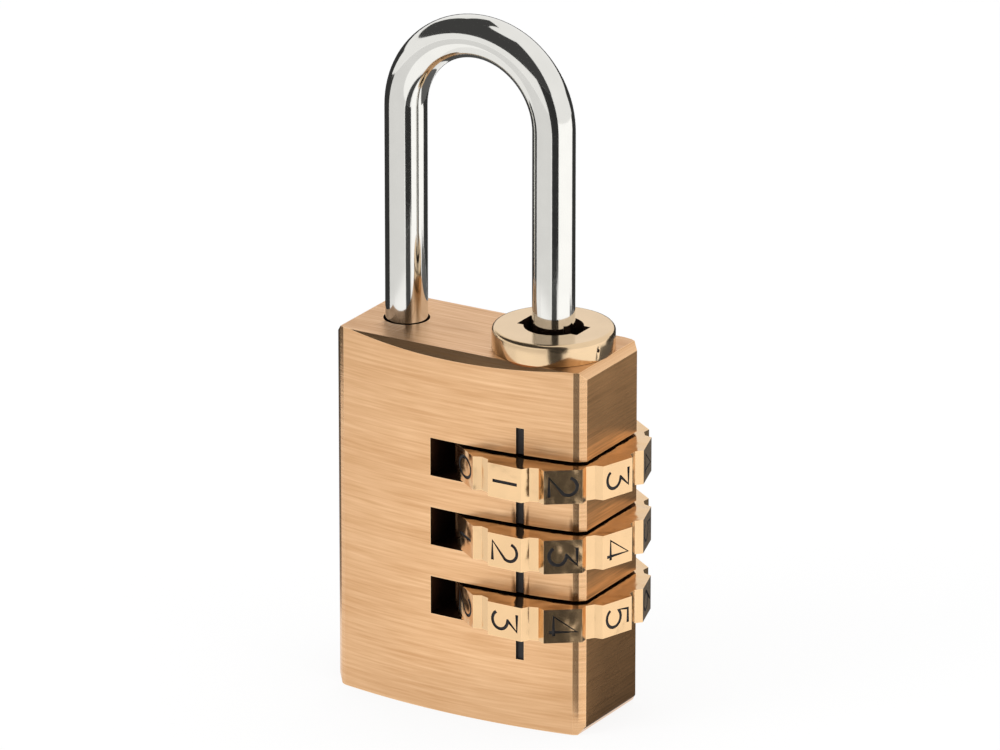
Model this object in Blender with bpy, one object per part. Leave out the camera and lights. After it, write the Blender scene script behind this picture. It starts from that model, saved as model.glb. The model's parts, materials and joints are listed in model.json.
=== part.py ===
"""Combination padlock with three dials: brass body, round steel shackle, code reset by a turned shackle.

All sizes are in metres, +Z is up, the front is -Y. The origin is the middle of the body's underside.
The short leg of the shackle carries three pairs of fins. Each fin pair hangs below the web of a code
sleeve, and passes it only where the sleeve's keyways line up. The dials turn the sleeves by splines.
To set a new code, the open shackle is turned a quarter and pushed down: its long leg tips the change
lever, which lifts the sleeves out of the dials' teeth.
"""

import math

import bmesh
import bpy
from mathutils import Matrix, Vector

MM = 0.001

# Body block
SIDE_FLAT = 6.89 * MM           # flat side face, front to back
FACE_BEVEL_X = 0.37 * MM        # upright corners, the facet next to the front or the back
FACE_BEVEL_Y = 0.19 * MM
SIDE_BEVEL_X = 0.40 * MM        # upright corners, the facet next to the side
SIDE_BEVEL_Y = 0.38 * MM
FACE_CROWN = 0.86 * MM          # bow of the front and the back at mid width
TOP_SIDE_INSET = 0.45 * MM
TOP_SIDE_DROP = 0.53 * MM
TOP_FACE_INSET = 0.75 * MM
TOP_FACE_DROP = 0.53 * MM
FOOT_SIDE_INSET = 0.45 * MM
FOOT_SIDE_DROP = 0.60 * MM
FOOT_EDGE_BREAK = 0.12 * MM
BASE_DEPTH = 4.95 * MM          # from the underside to the floor of the dial bore
TOP_LENGTH = 7.89 * MM          # from the top dial's middle to the body's top face

# Dials and their slots
LEVELS = ("bottom", "middle", "top")
DIAL_PITCH = 5.13 * MM
DIAL_DIAMETER = 13.6 * MM
DIAL_OVERHANG = 2.13 * MM       # past the right side of the body
DIAL_THICKNESS = 2.48 * MM
DIAL_EDGE = 0.12 * MM
PAD_COUNT = 10
PAD_WIDTH = 2.69 * MM
GRIP_FLOOR_WIDTH = 0.66 * MM
GRIP_DEPTH = 0.45 * MM
SLOT_SIDE_GAP = 0.15 * MM
SLOT_END_GAP = 0.24 * MM

# Splines between each dial and its code sleeve
TOOTH_COUNT = 10
BORE_RADIUS = 3.50 * MM         # the body's dial bore, and the root circle of the dial's teeth
TOOTH_DEPTH = 0.45 * MM
TOOTH_PLAY = 0.06 * MM
SPLINE_ENGAGEMENT = 0.85 * MM
TOOTH_TOP = -0.05 * MM          # top of the dial's teeth, from the dial's middle

# Code sleeves
SLEEVE_BELOW = 2.90 * MM        # from the dial's middle down to the sleeve's lower end
SLEEVE_WEB = 1.18 * MM
SLEEVE_RECESS_GAP = 0.15 * MM   # round the fins

# Shackle
WIRE_DIAMETER = 3.0 * MM
LONG_LEG_INSET = 3.495 * MM     # from the left side of the body
SHACKLE_CLEAR_HEIGHT = 20.0 * MM
LEG_HOLE_GAP = 0.14 * MM
LEG_TIP_CHAMFER = 0.25 * MM
FOOT_HEIGHT = 1.0 * MM
NECK_HEIGHT = 1.2 * MM
NECK_RADIUS = 0.75 * MM         # also the depth of the flats, from the leg's axis
FLAT_OVERRUN = 0.1 * MM
FIN_REACH = 2.25 * MM           # from the leg's axis
FIN_HEIGHT = 1.0 * MM
FIN_WIDE = 1.7 * MM
FIN_NARROW = 1.0 * MM
FIN_DROP = 0.15 * MM            # gap between a fin and the web above it
TIP_CLEARANCE = 0.2 * MM        # between the raised short leg and the collar's top

# Collar
FLANGE_RADIUS = 4.3 * MM
FLANGE_THICKNESS = 1.53 * MM
FLANGE_ROUNDING = 0.32 * MM
SPIGOT_LENGTH = 3.15 * MM
COLLAR_HOLE_RADIUS = 2.1 * MM
COLLAR_SLOT_REACH = 2.39 * MM
COLLAR_SLOT_WIDTH = 1.9 * MM

# Retaining pin across the long leg
PIN_RADIUS = 0.5 * MM
PIN_DEPTH = 1.75 * MM           # from the body's top face to the pin's axis
PIN_RECESS = 0.15 * MM
PIN_END_PAST_LEG = 0.5 * MM

# Click balls and springs
BALL_RADIUS = 0.6 * MM
BALL_HOLE_DEPTH = 2.74 * MM
BALL_WALL = 0.415 * MM          # between a ball's hole and the long leg's hole
CLICK_WIRE = 0.1 * MM
CLICK_TURNS = 4

# Change mechanism
CHANGE_RISE = 0.95 * MM
DISC_THICKNESS = 0.6 * MM
DISC_SIDE_GAP = 0.1 * MM
LEVER_THICKNESS = 0.9 * MM
LEVER_WIDTH = 2.0 * MM
LEVER_LEFT_ARM = 5.5 * MM
LEVER_END = 0.9 * MM            # how far the bar runs past the long leg's axis
LEVER_BOSS_RADIUS = 0.95 * MM
LEVER_PIN_RADIUS = 0.45 * MM
LEVER_PIN_LENGTH = 4.4 * MM
POCKET_SIDE_GAP = 0.15 * MM
POCKET_END_GAP = 0.9 * MM
CHANGE_WIRE = 0.25 * MM
CHANGE_TURNS = 3

# Base cover
COVER_THICKNESS = 0.88 * MM
COVER_WIDTH = 5.2 * MM
COVER_MARGIN = 0.5 * MM         # past the lever pocket at each end
COVER_CORNER = 1.0 * MM
SADDLE_LENGTH = 0.8 * MM

# Index line on the front
INDEX_WIDTH = 0.6 * MM
INDEX_DEPTH = 0.15 * MM
INDEX_ABOVE = 1.93 * MM         # past the top slot
INDEX_BELOW = 2.16 * MM         # past the bottom slot

# Clearances
RUNNING = 0.05 * MM
STACK_GAP = 0.1 * MM
PRESS_SEAT = 0.02 * MM

# Facets
BORE_SIDES = 48
ROD_SIDES = 32
SMALL_SIDES = 16
FACE_STEPS = 16
ARCH_STEPS = 20
ROUNDING_STEPS = 3              # small quarter rounds
CORNER_STEPS = 4                # larger quarter rounds
LEVER_STEPS = 8                 # the lever's boss, nose and end
KEYWAY_STEPS = 8                # the round stretches of a sleeve's hole
COLLAR_STEPS = 10               # the round stretches of the collar's hole
SHARP_ANGLE = math.radians(15)  # edges that stay crisp, such as those of the corner facets

# Places that follow from the sizes
DIAL_RADIUS = DIAL_DIAMETER / 2
WIRE_RADIUS = WIRE_DIAMETER / 2
LEG_HOLE_RADIUS = WIRE_RADIUS + LEG_HOLE_GAP
BALL_HOLE_SPAN = BALL_WALL + BALL_HOLE_DEPTH + SLOT_END_GAP
BODY_WIDTH = LONG_LEG_INSET + LEG_HOLE_RADIUS + BALL_HOLE_SPAN + DIAL_DIAMETER - DIAL_OVERHANG
HALF_WIDTH = BODY_WIDTH / 2
SIDE_EDGE_Y = SIDE_FLAT / 2
CORNER_EDGE_X = HALF_WIDTH - SIDE_BEVEL_X
CORNER_EDGE_Y = SIDE_EDGE_Y + SIDE_BEVEL_Y
FACE_EDGE_X = CORNER_EDGE_X - FACE_BEVEL_X
FACE_EDGE_Y = CORNER_EDGE_Y + FACE_BEVEL_Y
FACE_MID_Y = FACE_EDGE_Y + FACE_CROWN
FACE_RADIUS = (FACE_EDGE_X**2 + FACE_CROWN**2) / (2 * FACE_CROWN)
DIAL_X = HALF_WIDTH + DIAL_OVERHANG - DIAL_RADIUS
LEG_X = LONG_LEG_INSET - HALF_WIDTH
DISC_Z = BASE_DEPTH + RUNNING
STACK_Z = DISC_Z + DISC_THICKNESS + STACK_GAP
DIAL_Z = [STACK_Z + SLEEVE_BELOW + DIAL_PITCH * level for level in range(len(LEVELS))]
TOP_Z = DIAL_Z[-1] + TOP_LENGTH
SLOT_HALF = DIAL_THICKNESS / 2 + SLOT_SIDE_GAP
SLOT_END_X = DIAL_X - DIAL_RADIUS - SLOT_END_GAP
TOOTH_TIP_RADIUS = BORE_RADIUS - TOOTH_DEPTH
TOOTH_PITCH = 2 * math.pi / TOOTH_COUNT
TOOTH_PHASE = TOOTH_PITCH / 2 - math.pi / 2
TOOTH_PLAY_ANGLE = TOOTH_PLAY / (TOOTH_TIP_RADIUS + TOOTH_DEPTH / 2)
SPLINE_RADIUS = BORE_RADIUS - RUNNING
SPLINE_ROOT = TOOTH_TIP_RADIUS - RUNNING
SLEEVE_RADIUS = SPLINE_ROOT - RUNNING
SLEEVE_ABOVE = DIAL_PITCH - SLEEVE_BELOW - RUNNING
WEB_UNDERSIDE = SLEEVE_ABOVE - SLEEVE_WEB
RECESS_RADIUS = FIN_REACH + SLEEVE_RECESS_GAP
PIN_Z = TOP_Z - PIN_DEPTH
PIN_Y = NECK_RADIUS + RUNNING + PIN_RADIUS
FLANGE_Z = TOP_Z + PRESS_SEAT
COLLAR_TOP = FLANGE_Z + FLANGE_THICKNESS
SPIGOT_Z = TOP_Z - SPIGOT_LENGTH
PIVOT_X = LEG_X + LEVER_LEFT_ARM
LEVER_TILT = math.asin(CHANGE_RISE / (DIAL_X - PIVOT_X))
LEVER_REACH = LEVER_LEFT_ARM + LEVER_END
PIVOT_Z = COVER_THICKNESS + STACK_GAP + LEVER_THICKNESS / 2 + LEVER_REACH * math.sin(LEVER_TILT)
LEVER_TOP = PIVOT_Z + LEVER_THICKNESS / 2
LEG_FOOT_Z = LEVER_TOP + STACK_GAP
NECK_Z = LEG_FOOT_Z + FOOT_HEIGHT
FLAT_Z = NECK_Z + NECK_HEIGHT
PUSH_DEPTH = STACK_GAP + LEVER_LEFT_ARM * math.sin(LEVER_TILT)
SHACKLE_TRAVEL = PIN_Z - PIN_RADIUS - RUNNING - NECK_Z
SHORT_TIP_Z = COLLAR_TOP + TIP_CLEARANCE - SHACKLE_TRAVEL
ARCH_RADIUS = (DIAL_X - LEG_X) / 2
ARCH_X = (DIAL_X + LEG_X) / 2
ARCH_Z = TOP_Z + SHACKLE_CLEAR_HEIGHT - (ARCH_RADIUS - WIRE_RADIUS)
BALL_X = DIAL_X - DIAL_RADIUS - RUNNING - BALL_RADIUS
BALL_HOLE_RADIUS = BALL_RADIUS + RUNNING
BALL_HOLE_END = SLOT_END_X - BALL_HOLE_DEPTH
POCKET_HALF = LEVER_WIDTH / 2 + POCKET_SIDE_GAP
POCKET_LEFT = PIVOT_X - LEVER_REACH - POCKET_END_GAP
POCKET_RIGHT = DIAL_X + LEVER_BOSS_RADIUS + RUNNING
OVERSHOOT = 1.0 * MM            # how far a cutter runs past the face that it opens


def clear_scene():
    for item in list(bpy.data.objects):
        bpy.data.objects.remove(item, do_unlink=True)


def finish(name, colour, roughness):
    """A metal material in a plain colour."""
    material = bpy.data.materials.new(name)
    material.use_nodes = True
    shader = material.node_tree.nodes["Principled BSDF"]
    shader.inputs["Base Color"].default_value = (*colour, 1.0)
    shader.inputs["Metallic"].default_value = 1.0
    shader.inputs["Roughness"].default_value = roughness
    return material


# Outlines, as lists of points in a plane

def circle(radius, sides, centre=(0.0, 0.0), start=0.0):
    angles = [start + 2 * math.pi * step / sides for step in range(sides)]
    return [(centre[0] + radius * math.cos(a), centre[1] + radius * math.sin(a)) for a in angles]


def arc(radius, first, last, steps, centre=(0.0, 0.0)):
    angles = [first + (last - first) * step / steps for step in range(steps + 1)]
    return [(centre[0] + radius * math.cos(a), centre[1] + radius * math.sin(a)) for a in angles]


def box_outline(left, right, low, high):
    return [(left, low), (right, low), (right, high), (left, high)]


def rounded_outline(left, right, low, high, radius):
    corners = [(right, low), (right, high), (left, high), (left, low)]
    middle = ((left + right) / 2, (low + high) / 2)
    points = []
    for turn, (x, y) in enumerate(corners):
        centre = (x - math.copysign(radius, x - middle[0]), y - math.copysign(radius, y - middle[1]))
        first = math.radians(90 * turn - 90)
        points += arc(radius, first, first + math.radians(90), CORNER_STEPS, centre)
    return points


def toothed_outline(inner, outer, outer_angle, count, phase):
    """A round outline that steps out to the outer radius over outer_angle, count times."""
    points = []
    for tooth in range(count):
        middle = phase + 2 * math.pi * tooth / count
        for radius, side in ((inner, -1), (outer, -1), (outer, 1), (inner, 1)):
            angle = middle + side * outer_angle / 2
            points.append((radius * math.cos(angle), radius * math.sin(angle)))
    return points


def keyed_outline(radius, reach, right_width, left_width, steps):
    """A round hole with a square-ended slot on each side, along X."""
    right = math.asin(right_width / 2 / radius)
    left = math.asin(left_width / 2 / radius)
    points = [(reach, -right_width / 2), (reach, right_width / 2)]
    points += arc(radius, right, math.pi - left, steps)
    points += [(-reach, left_width / 2), (-reach, -left_width / 2)]
    points += arc(radius, math.pi + left, 2 * math.pi - right, steps)
    return points


def pad_outline():
    """The dial's rim: ten flat pads with a sloping grip groove between neighbours."""
    pad_half = math.asin(PAD_WIDTH / 2 / DIAL_RADIUS)
    floor_radius = DIAL_RADIUS - GRIP_DEPTH
    floor_half = math.asin(GRIP_FLOOR_WIDTH / 2 / floor_radius)
    points = []
    for pad in range(PAD_COUNT):
        middle = -math.pi / 2 + 2 * math.pi * pad / PAD_COUNT
        groove = middle + math.pi / PAD_COUNT
        corners = (
            (DIAL_RADIUS, middle - pad_half),
            (DIAL_RADIUS, middle + pad_half),
            (floor_radius, groove - floor_half),
            (floor_radius, groove + floor_half),
        )
        points += [(radius * math.cos(a), radius * math.sin(a)) for radius, a in corners]
    return points


def body_outline():
    """The body seen from above, counterclockwise from the right side."""
    half_angle = math.asin(FACE_EDGE_X / FACE_RADIUS)
    centre_y = FACE_MID_Y - FACE_RADIUS
    back = arc(FACE_RADIUS, math.pi / 2 - half_angle, math.pi / 2 + half_angle, FACE_STEPS, (0, centre_y))
    corner = [(HALF_WIDTH, SIDE_EDGE_Y), (CORNER_EDGE_X, CORNER_EDGE_Y)]
    half = corner + back + [(-x, y) for x, y in reversed(corner)]
    return half + [(-x, -y) for x, y in half]


def face_y(x):
    """How far the crowned face stands from the middle plane at x."""
    return FACE_MID_Y - FACE_RADIUS + math.sqrt(FACE_RADIUS**2 - x**2)


def on_z(outline, z):
    return [Vector((a, b, z)) for a, b in outline]


def on_y(outline, y):
    return [Vector((a, y, b)) for a, b in outline]


def on_x(outline, x):
    return [Vector((x, a, b)) for a, b in outline]


# Solids

def loft(bm, rings, closed=False):
    """Joins rings of equally many points, and caps both ends unless the last ring meets the first."""
    loops = [[bm.verts.new(point) for point in ring] for ring in rings]
    pairs = list(zip(loops, loops[1:]))
    if closed:
        pairs.append((loops[-1], loops[0]))
    else:
        bm.faces.new(loops[0])
        bm.faces.new(loops[-1])
    for lower, upper in pairs:
        for index in range(len(lower)):
            after = (index + 1) % len(lower)
            bm.faces.new((lower[index], lower[after], upper[after], upper[index]))


def solid(rings_list, closed=False):
    """A mesh of one or more separate lofts."""
    bm = bmesh.new()
    for rings in rings_list:
        loft(bm, rings, closed)
    bmesh.ops.recalc_face_normals(bm, faces=bm.faces)
    return bm


def turned(profile, sides):
    """Rings of a shape turned about Z, from its radius and height at each step."""
    return [on_z(circle(radius, sides), z) for radius, z in profile]


def coil(mean_radius, wire_radius, length, turns, steps_per_turn=14, wire_sides=6):
    """Rings of a coil about Z, from z = 0 up to its length."""
    rings = []
    steps = turns * steps_per_turn
    rise = length - 2 * wire_radius
    for step in range(steps + 1):
        angle = 2 * math.pi * step / steps_per_turn
        outward = Vector((math.cos(angle), math.sin(angle), 0))
        centre = outward * mean_radius + Vector((0, 0, wire_radius + rise * step / steps))
        along = Vector((-math.sin(angle), math.cos(angle), rise / (2 * math.pi * turns * mean_radius)))
        across = outward.cross(along).normalized()
        rings.append([centre + outward * a + across * b for a, b in circle(wire_radius, wire_sides)])
    return rings


def piece(name, bm, material, location=(0, 0, 0), parent=None):
    """Stores a mesh as an object, placed in the world."""
    mesh = bpy.data.meshes.new(name)
    bm.to_mesh(mesh)
    bm.free()
    mesh.materials.append(material)
    return place(name, mesh, location, parent)


def place(name, mesh, location, parent=None):
    """An object for a mesh, which other objects may share."""
    item = bpy.data.objects.new(name, mesh)
    bpy.context.scene.collection.objects.link(item)
    item.location = location
    if parent:
        item.parent = parent
        item.matrix_parent_inverse = Matrix.Translation(parent.location).inverted()
    return item


def axis_empty(name, location):
    item = place(name, None, location)
    item.empty_display_size = 2 * MM
    return item


def combine(target, bm, operation):
    """Joins a solid to the target, or cuts it out of it."""
    tool = piece("tool", bm, target.data.materials[0])
    modifier = target.modifiers.new(operation.title(), "BOOLEAN")
    modifier.operation = operation
    modifier.solver = "EXACT"
    modifier.object = tool
    with bpy.context.temp_override(object=target, active_object=target):
        bpy.ops.object.modifier_apply(modifier=modifier.name)
    bpy.data.objects.remove(tool, do_unlink=True)


def cut(target, *rings_list):
    combine(target, solid(rings_list), "DIFFERENCE")


def add(target, *rings_list):
    combine(target, solid(rings_list), "UNION")


def shade(item):
    item.data.shade_smooth()
    item.data.set_sharp_from_angle(angle=SHARP_ANGLE)


# The body and what is fixed in it

def trim(bm, point, normal):
    """Cuts off what lies outside a plane and closes the cut."""
    geometry = bm.verts[:] + bm.edges[:] + bm.faces[:]
    result = bmesh.ops.bisect_plane(
        bm, geom=geometry, dist=1e-8, plane_co=point, plane_no=normal, clear_outer=True
    )
    edges = [item for item in result["geom_cut"] if isinstance(item, bmesh.types.BMEdge)]
    bmesh.ops.edgeloop_fill(bm, edges=edges)


def body_block():
    """The body's outside: crowned faces, bevelled corners and chamfered ends."""
    outline = body_outline()
    bm = solid([[on_z(outline, 0), on_z(outline, TOP_Z)]])
    for side in (-1, 1):
        top_side = Vector((side * (HALF_WIDTH - TOP_SIDE_INSET), 0, TOP_Z))
        trim(bm, top_side, (side * TOP_SIDE_DROP, 0, TOP_SIDE_INSET))
        top_face = Vector((0, side * (FACE_MID_Y - TOP_FACE_INSET), TOP_Z))
        trim(bm, top_face, (0, side * TOP_FACE_DROP, TOP_FACE_INSET))
        foot_side = Vector((side * (HALF_WIDTH - FOOT_SIDE_INSET), 0, 0))
        trim(bm, foot_side, (side * FOOT_SIDE_DROP, 0, -FOOT_SIDE_INSET))
    bmesh.ops.recalc_face_normals(bm, faces=bm.faces)
    foot = min(bm.faces, key=lambda face: face.calc_center_median().z)
    edges = [edge for edge in foot.edges if abs(edge.verts[0].co.x - edge.verts[1].co.x) > FOOT_EDGE_BREAK]
    bmesh.ops.bevel(bm, geom=edges, offset=FOOT_EDGE_BREAK, segments=1, affect="EDGES")
    return bm


def cut_slots(body):
    far_y = FACE_MID_Y + OVERSHOOT
    outline = box_outline(SLOT_END_X, HALF_WIDTH + OVERSHOOT, -far_y, far_y)
    cut(body, *[[on_z(outline, z - SLOT_HALF), on_z(outline, z + SLOT_HALF)] for z in DIAL_Z])


def cut_bores(body):
    dial_bore = circle(BORE_RADIUS, BORE_SIDES, (DIAL_X, 0))
    leg_bore = circle(LEG_HOLE_RADIUS, ROD_SIDES, (LEG_X, 0))
    leg_floor = LEG_FOOT_Z - PUSH_DEPTH - STACK_GAP
    cut(
        body,
        [on_z(dial_bore, BASE_DEPTH), on_z(dial_bore, TOP_Z + OVERSHOOT)],
        [on_z(leg_bore, leg_floor), on_z(leg_bore, TOP_Z + OVERSHOOT)],
    )


def cover_outline(gap):
    left = POCKET_LEFT - COVER_MARGIN - gap
    right = POCKET_RIGHT + COVER_MARGIN + gap
    half = COVER_WIDTH / 2 + gap
    return rounded_outline(left, right, -half, half, COVER_CORNER + gap)


def cut_base(body):
    """The pocket of the change lever, the slots of its pin and the seat of the cover."""
    pocket = rounded_outline(POCKET_LEFT, POCKET_RIGHT, -POCKET_HALF, POCKET_HALF, POCKET_HALF / 2)
    cut(body, [on_z(pocket, -OVERSHOOT), on_z(pocket, BASE_DEPTH + OVERSHOOT)])
    pin_half = LEVER_PIN_RADIUS + RUNNING
    side_y = LEVER_PIN_LENGTH / 2 + RUNNING
    slot = [(PIVOT_X - pin_half, -OVERSHOOT), (PIVOT_X + pin_half, -OVERSHOOT)]
    slot += arc(pin_half, 0, math.pi, SMALL_SIDES // 2, (PIVOT_X, PIVOT_Z))
    cut(body, [on_y(slot, -side_y), on_y(slot, side_y)])
    seat = cover_outline(PRESS_SEAT)
    cut(body, [on_z(seat, -OVERSHOOT), on_z(seat, COVER_THICKNESS + PRESS_SEAT)])


def cut_small_holes(body):
    """The hole of the retaining pin, the holes of the click balls and the index line."""
    pin_hole = circle(PIN_RADIUS + PRESS_SEAT, SMALL_SIDES, (PIN_Y, PIN_Z))
    pin_end = LEG_X + WIRE_RADIUS + PIN_END_PAST_LEG + PRESS_SEAT
    cut(body, [on_x(pin_hole, -HALF_WIDTH - OVERSHOOT), on_x(pin_hole, pin_end)])
    for z in DIAL_Z:
        ball_hole = circle(BALL_HOLE_RADIUS, SMALL_SIDES, (0, z))
        cut(body, [on_x(ball_hole, BALL_HOLE_END), on_x(ball_hole, SLOT_END_X + OVERSHOOT)])
    near_y = -face_y(DIAL_X) + INDEX_DEPTH
    line = box_outline(DIAL_X - INDEX_WIDTH / 2, DIAL_X + INDEX_WIDTH / 2, -FACE_MID_Y - OVERSHOOT, near_y)
    low = DIAL_Z[0] - SLOT_HALF - INDEX_BELOW
    high = DIAL_Z[-1] + SLOT_HALF + INDEX_ABOVE
    cut(body, [on_z(line, low), on_z(line, high)])


def make_body(brass):
    body = piece("lock_body", body_block(), brass)
    cut_slots(body)
    cut_bores(body)
    cut_base(body)
    cut_small_holes(body)
    shade(body)
    return body


def make_collar(brass):
    """The round collar that the short leg goes through, with a slot on each side for the fins."""
    rounding_centre = (FLANGE_RADIUS - FLANGE_ROUNDING, COLLAR_TOP - FLANGE_ROUNDING)
    rounding = arc(FLANGE_ROUNDING, 0, math.pi / 2, ROUNDING_STEPS, rounding_centre)
    spigot_radius = BORE_RADIUS - 2 * PRESS_SEAT
    profile = [(spigot_radius, SPIGOT_Z), (spigot_radius, FLANGE_Z), (FLANGE_RADIUS, FLANGE_Z)] + rounding
    collar = piece("top_collar", solid([turned(profile, BORE_SIDES)]), brass, (DIAL_X, 0, 0))
    width = COLLAR_SLOT_WIDTH
    opening = keyed_outline(COLLAR_HOLE_RADIUS, COLLAR_SLOT_REACH, width, width, COLLAR_STEPS)
    opening = [(x + DIAL_X, y) for x, y in opening]
    cut(collar, [on_z(opening, SPIGOT_Z - OVERSHOOT), on_z(opening, COLLAR_TOP + OVERSHOOT)])
    shade(collar)
    return collar


def make_retaining_pin(steel):
    outline = circle(PIN_RADIUS, SMALL_SIDES, (PIN_Y, PIN_Z))
    left = -HALF_WIDTH + PIN_RECESS
    right = LEG_X + WIRE_RADIUS + PIN_END_PAST_LEG
    pin = piece("retaining_pin", solid([[on_x(outline, left), on_x(outline, right)]]), steel)
    shade(pin)
    return pin


def make_cover(brass):
    """The plate pressed into the underside, with two saddles that hold the lever's pin up."""
    outline = cover_outline(0)
    cover = piece("base_cover", solid([[on_z(outline, 0), on_z(outline, COVER_THICKNESS)]]), brass)
    near = POCKET_HALF + RUNNING
    far = LEVER_PIN_LENGTH / 2 - RUNNING
    saddle_top = PIVOT_Z - LEVER_PIN_RADIUS - PRESS_SEAT
    for low, high in ((-far, -near), (near, far)):
        saddle = box_outline(PIVOT_X - SADDLE_LENGTH / 2, PIVOT_X + SADDLE_LENGTH / 2, low, high)
        add(cover, [on_z(saddle, COVER_THICKNESS / 2), on_z(saddle, saddle_top)])
    shade(cover)
    return cover


def make_clicks(steel):
    """A ball and its spring in the end wall of each slot, drawn clear of the turning pads."""
    spring_space = BALL_X - BALL_RADIUS - BALL_HOLE_END
    spring_radius = BALL_HOLE_RADIUS - 2 * CLICK_WIRE
    spring = solid([coil(spring_radius, CLICK_WIRE, spring_space - 2 * PRESS_SEAT, CLICK_TURNS, 10, 5)])
    spring.transform(Matrix.Rotation(math.pi / 2, 4, "Y"))
    spring_mesh = bpy.data.meshes.new("click_spring")
    spring.to_mesh(spring_mesh)
    spring.free()
    spring_mesh.materials.append(steel)
    spring_mesh.shade_smooth()
    ball = bmesh.new()
    bmesh.ops.create_icosphere(ball, subdivisions=2, radius=BALL_RADIUS)
    ball_mesh = bpy.data.meshes.new("click_ball")
    ball.to_mesh(ball_mesh)
    ball.free()
    ball_mesh.materials.append(steel)
    ball_mesh.shade_smooth()
    for label, z in zip(LEVELS, DIAL_Z):
        place("click_ball_" + label, ball_mesh, (BALL_X, 0, z))
        place("click_spring_" + label, spring_mesh, (BALL_HOLE_END + PRESS_SEAT, 0, z))


# The shackle

def shackle_rings():
    """Round sections of the wire, from the short leg's tip over the arch to the long leg's foot."""
    def section(radius, angle, centre):
        outward = Vector((math.cos(angle), 0, math.sin(angle)))
        return [centre + outward * a + Vector((0, b, 0)) for a, b in circle(radius, ROD_SIDES)]

    tip_radius = WIRE_RADIUS - LEG_TIP_CHAMFER
    rings = [
        section(tip_radius, 0, Vector((DIAL_X, 0, SHORT_TIP_Z))),
        section(WIRE_RADIUS, 0, Vector((DIAL_X, 0, SHORT_TIP_Z + LEG_TIP_CHAMFER))),
    ]
    for step in range(ARCH_STEPS + 1):
        angle = math.pi * step / ARCH_STEPS
        centre = Vector((ARCH_X + ARCH_RADIUS * math.cos(angle), 0, ARCH_Z + ARCH_RADIUS * math.sin(angle)))
        rings.append(section(WIRE_RADIUS, angle, centre))
    rings.append(section(WIRE_RADIUS, math.pi, Vector((LEG_X, 0, LEG_FOOT_Z + LEG_TIP_CHAMFER))))
    rings.append(section(tip_radius, math.pi, Vector((LEG_X, 0, LEG_FOOT_Z))))
    return rings


def make_shackle(steel):
    shackle = piece("shackle", solid([shackle_rings()]), steel)
    for z in DIAL_Z:
        top = z + WEB_UNDERSIDE - FIN_DROP
        wide = box_outline(DIAL_X, DIAL_X + FIN_REACH, -FIN_WIDE / 2, FIN_WIDE / 2)
        narrow = box_outline(DIAL_X - FIN_REACH, DIAL_X, -FIN_NARROW / 2, FIN_NARROW / 2)
        add(shackle, [on_z(wide, top - FIN_HEIGHT), on_z(wide, top)])
        add(shackle, [on_z(narrow, top - FIN_HEIGHT), on_z(narrow, top)])
    # The two flats let the leg slide past the pin, the round neck lets it turn there
    outside = WIRE_RADIUS + OVERSHOOT
    flat_top = PIN_Z + PIN_RADIUS + FLAT_OVERRUN
    rest_flat = box_outline(LEG_X - outside, LEG_X + outside, NECK_RADIUS, outside)
    cut(shackle, [on_z(rest_flat, FLAT_Z), on_z(rest_flat, flat_top)])
    turned_flat = box_outline(LEG_X - outside, LEG_X - NECK_RADIUS, -outside, outside)
    cut(shackle, [on_z(turned_flat, FLAT_Z), on_z(turned_flat, flat_top + PUSH_DEPTH)])
    neck = [(NECK_RADIUS, NECK_Z), (outside, NECK_Z), (outside, FLAT_Z), (NECK_RADIUS, FLAT_Z)]
    rings = [on_z(circle(radius, ROD_SIDES, (LEG_X, 0)), z) for radius, z in neck]
    combine(shackle, solid([rings], closed=True), "DIFFERENCE")
    shade(shackle)
    return shackle


# The dials, the code sleeves and the change mechanism

def dial_mesh(brass):
    """A dial about its own middle, with teeth in the lower half of its bore."""
    half = DIAL_THICKNESS / 2
    rim = pad_outline()
    edge = [(x * (1 - DIAL_EDGE / DIAL_RADIUS), y * (1 - DIAL_EDGE / DIAL_RADIUS)) for x, y in rim]
    rings = [on_z(edge, -half), on_z(rim, DIAL_EDGE - half), on_z(rim, half - DIAL_EDGE), on_z(edge, half)]
    blank = piece("dial_blank", solid([rings]), brass)
    space = TOOTH_PITCH / 2 + TOOTH_PLAY_ANGLE
    teeth = toothed_outline(TOOTH_TIP_RADIUS, BORE_RADIUS, space, TOOTH_COUNT, TOOTH_PHASE)
    cut(blank, [on_z(teeth, -half - OVERSHOOT), on_z(teeth, half + OVERSHOOT)])
    relief = circle(BORE_RADIUS + RUNNING, BORE_SIDES)
    cut(blank, [on_z(relief, TOOTH_TOP), on_z(relief, half + OVERSHOOT)])
    shade(blank)
    mesh = blank.data
    bpy.data.objects.remove(blank, do_unlink=True)
    return mesh


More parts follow.
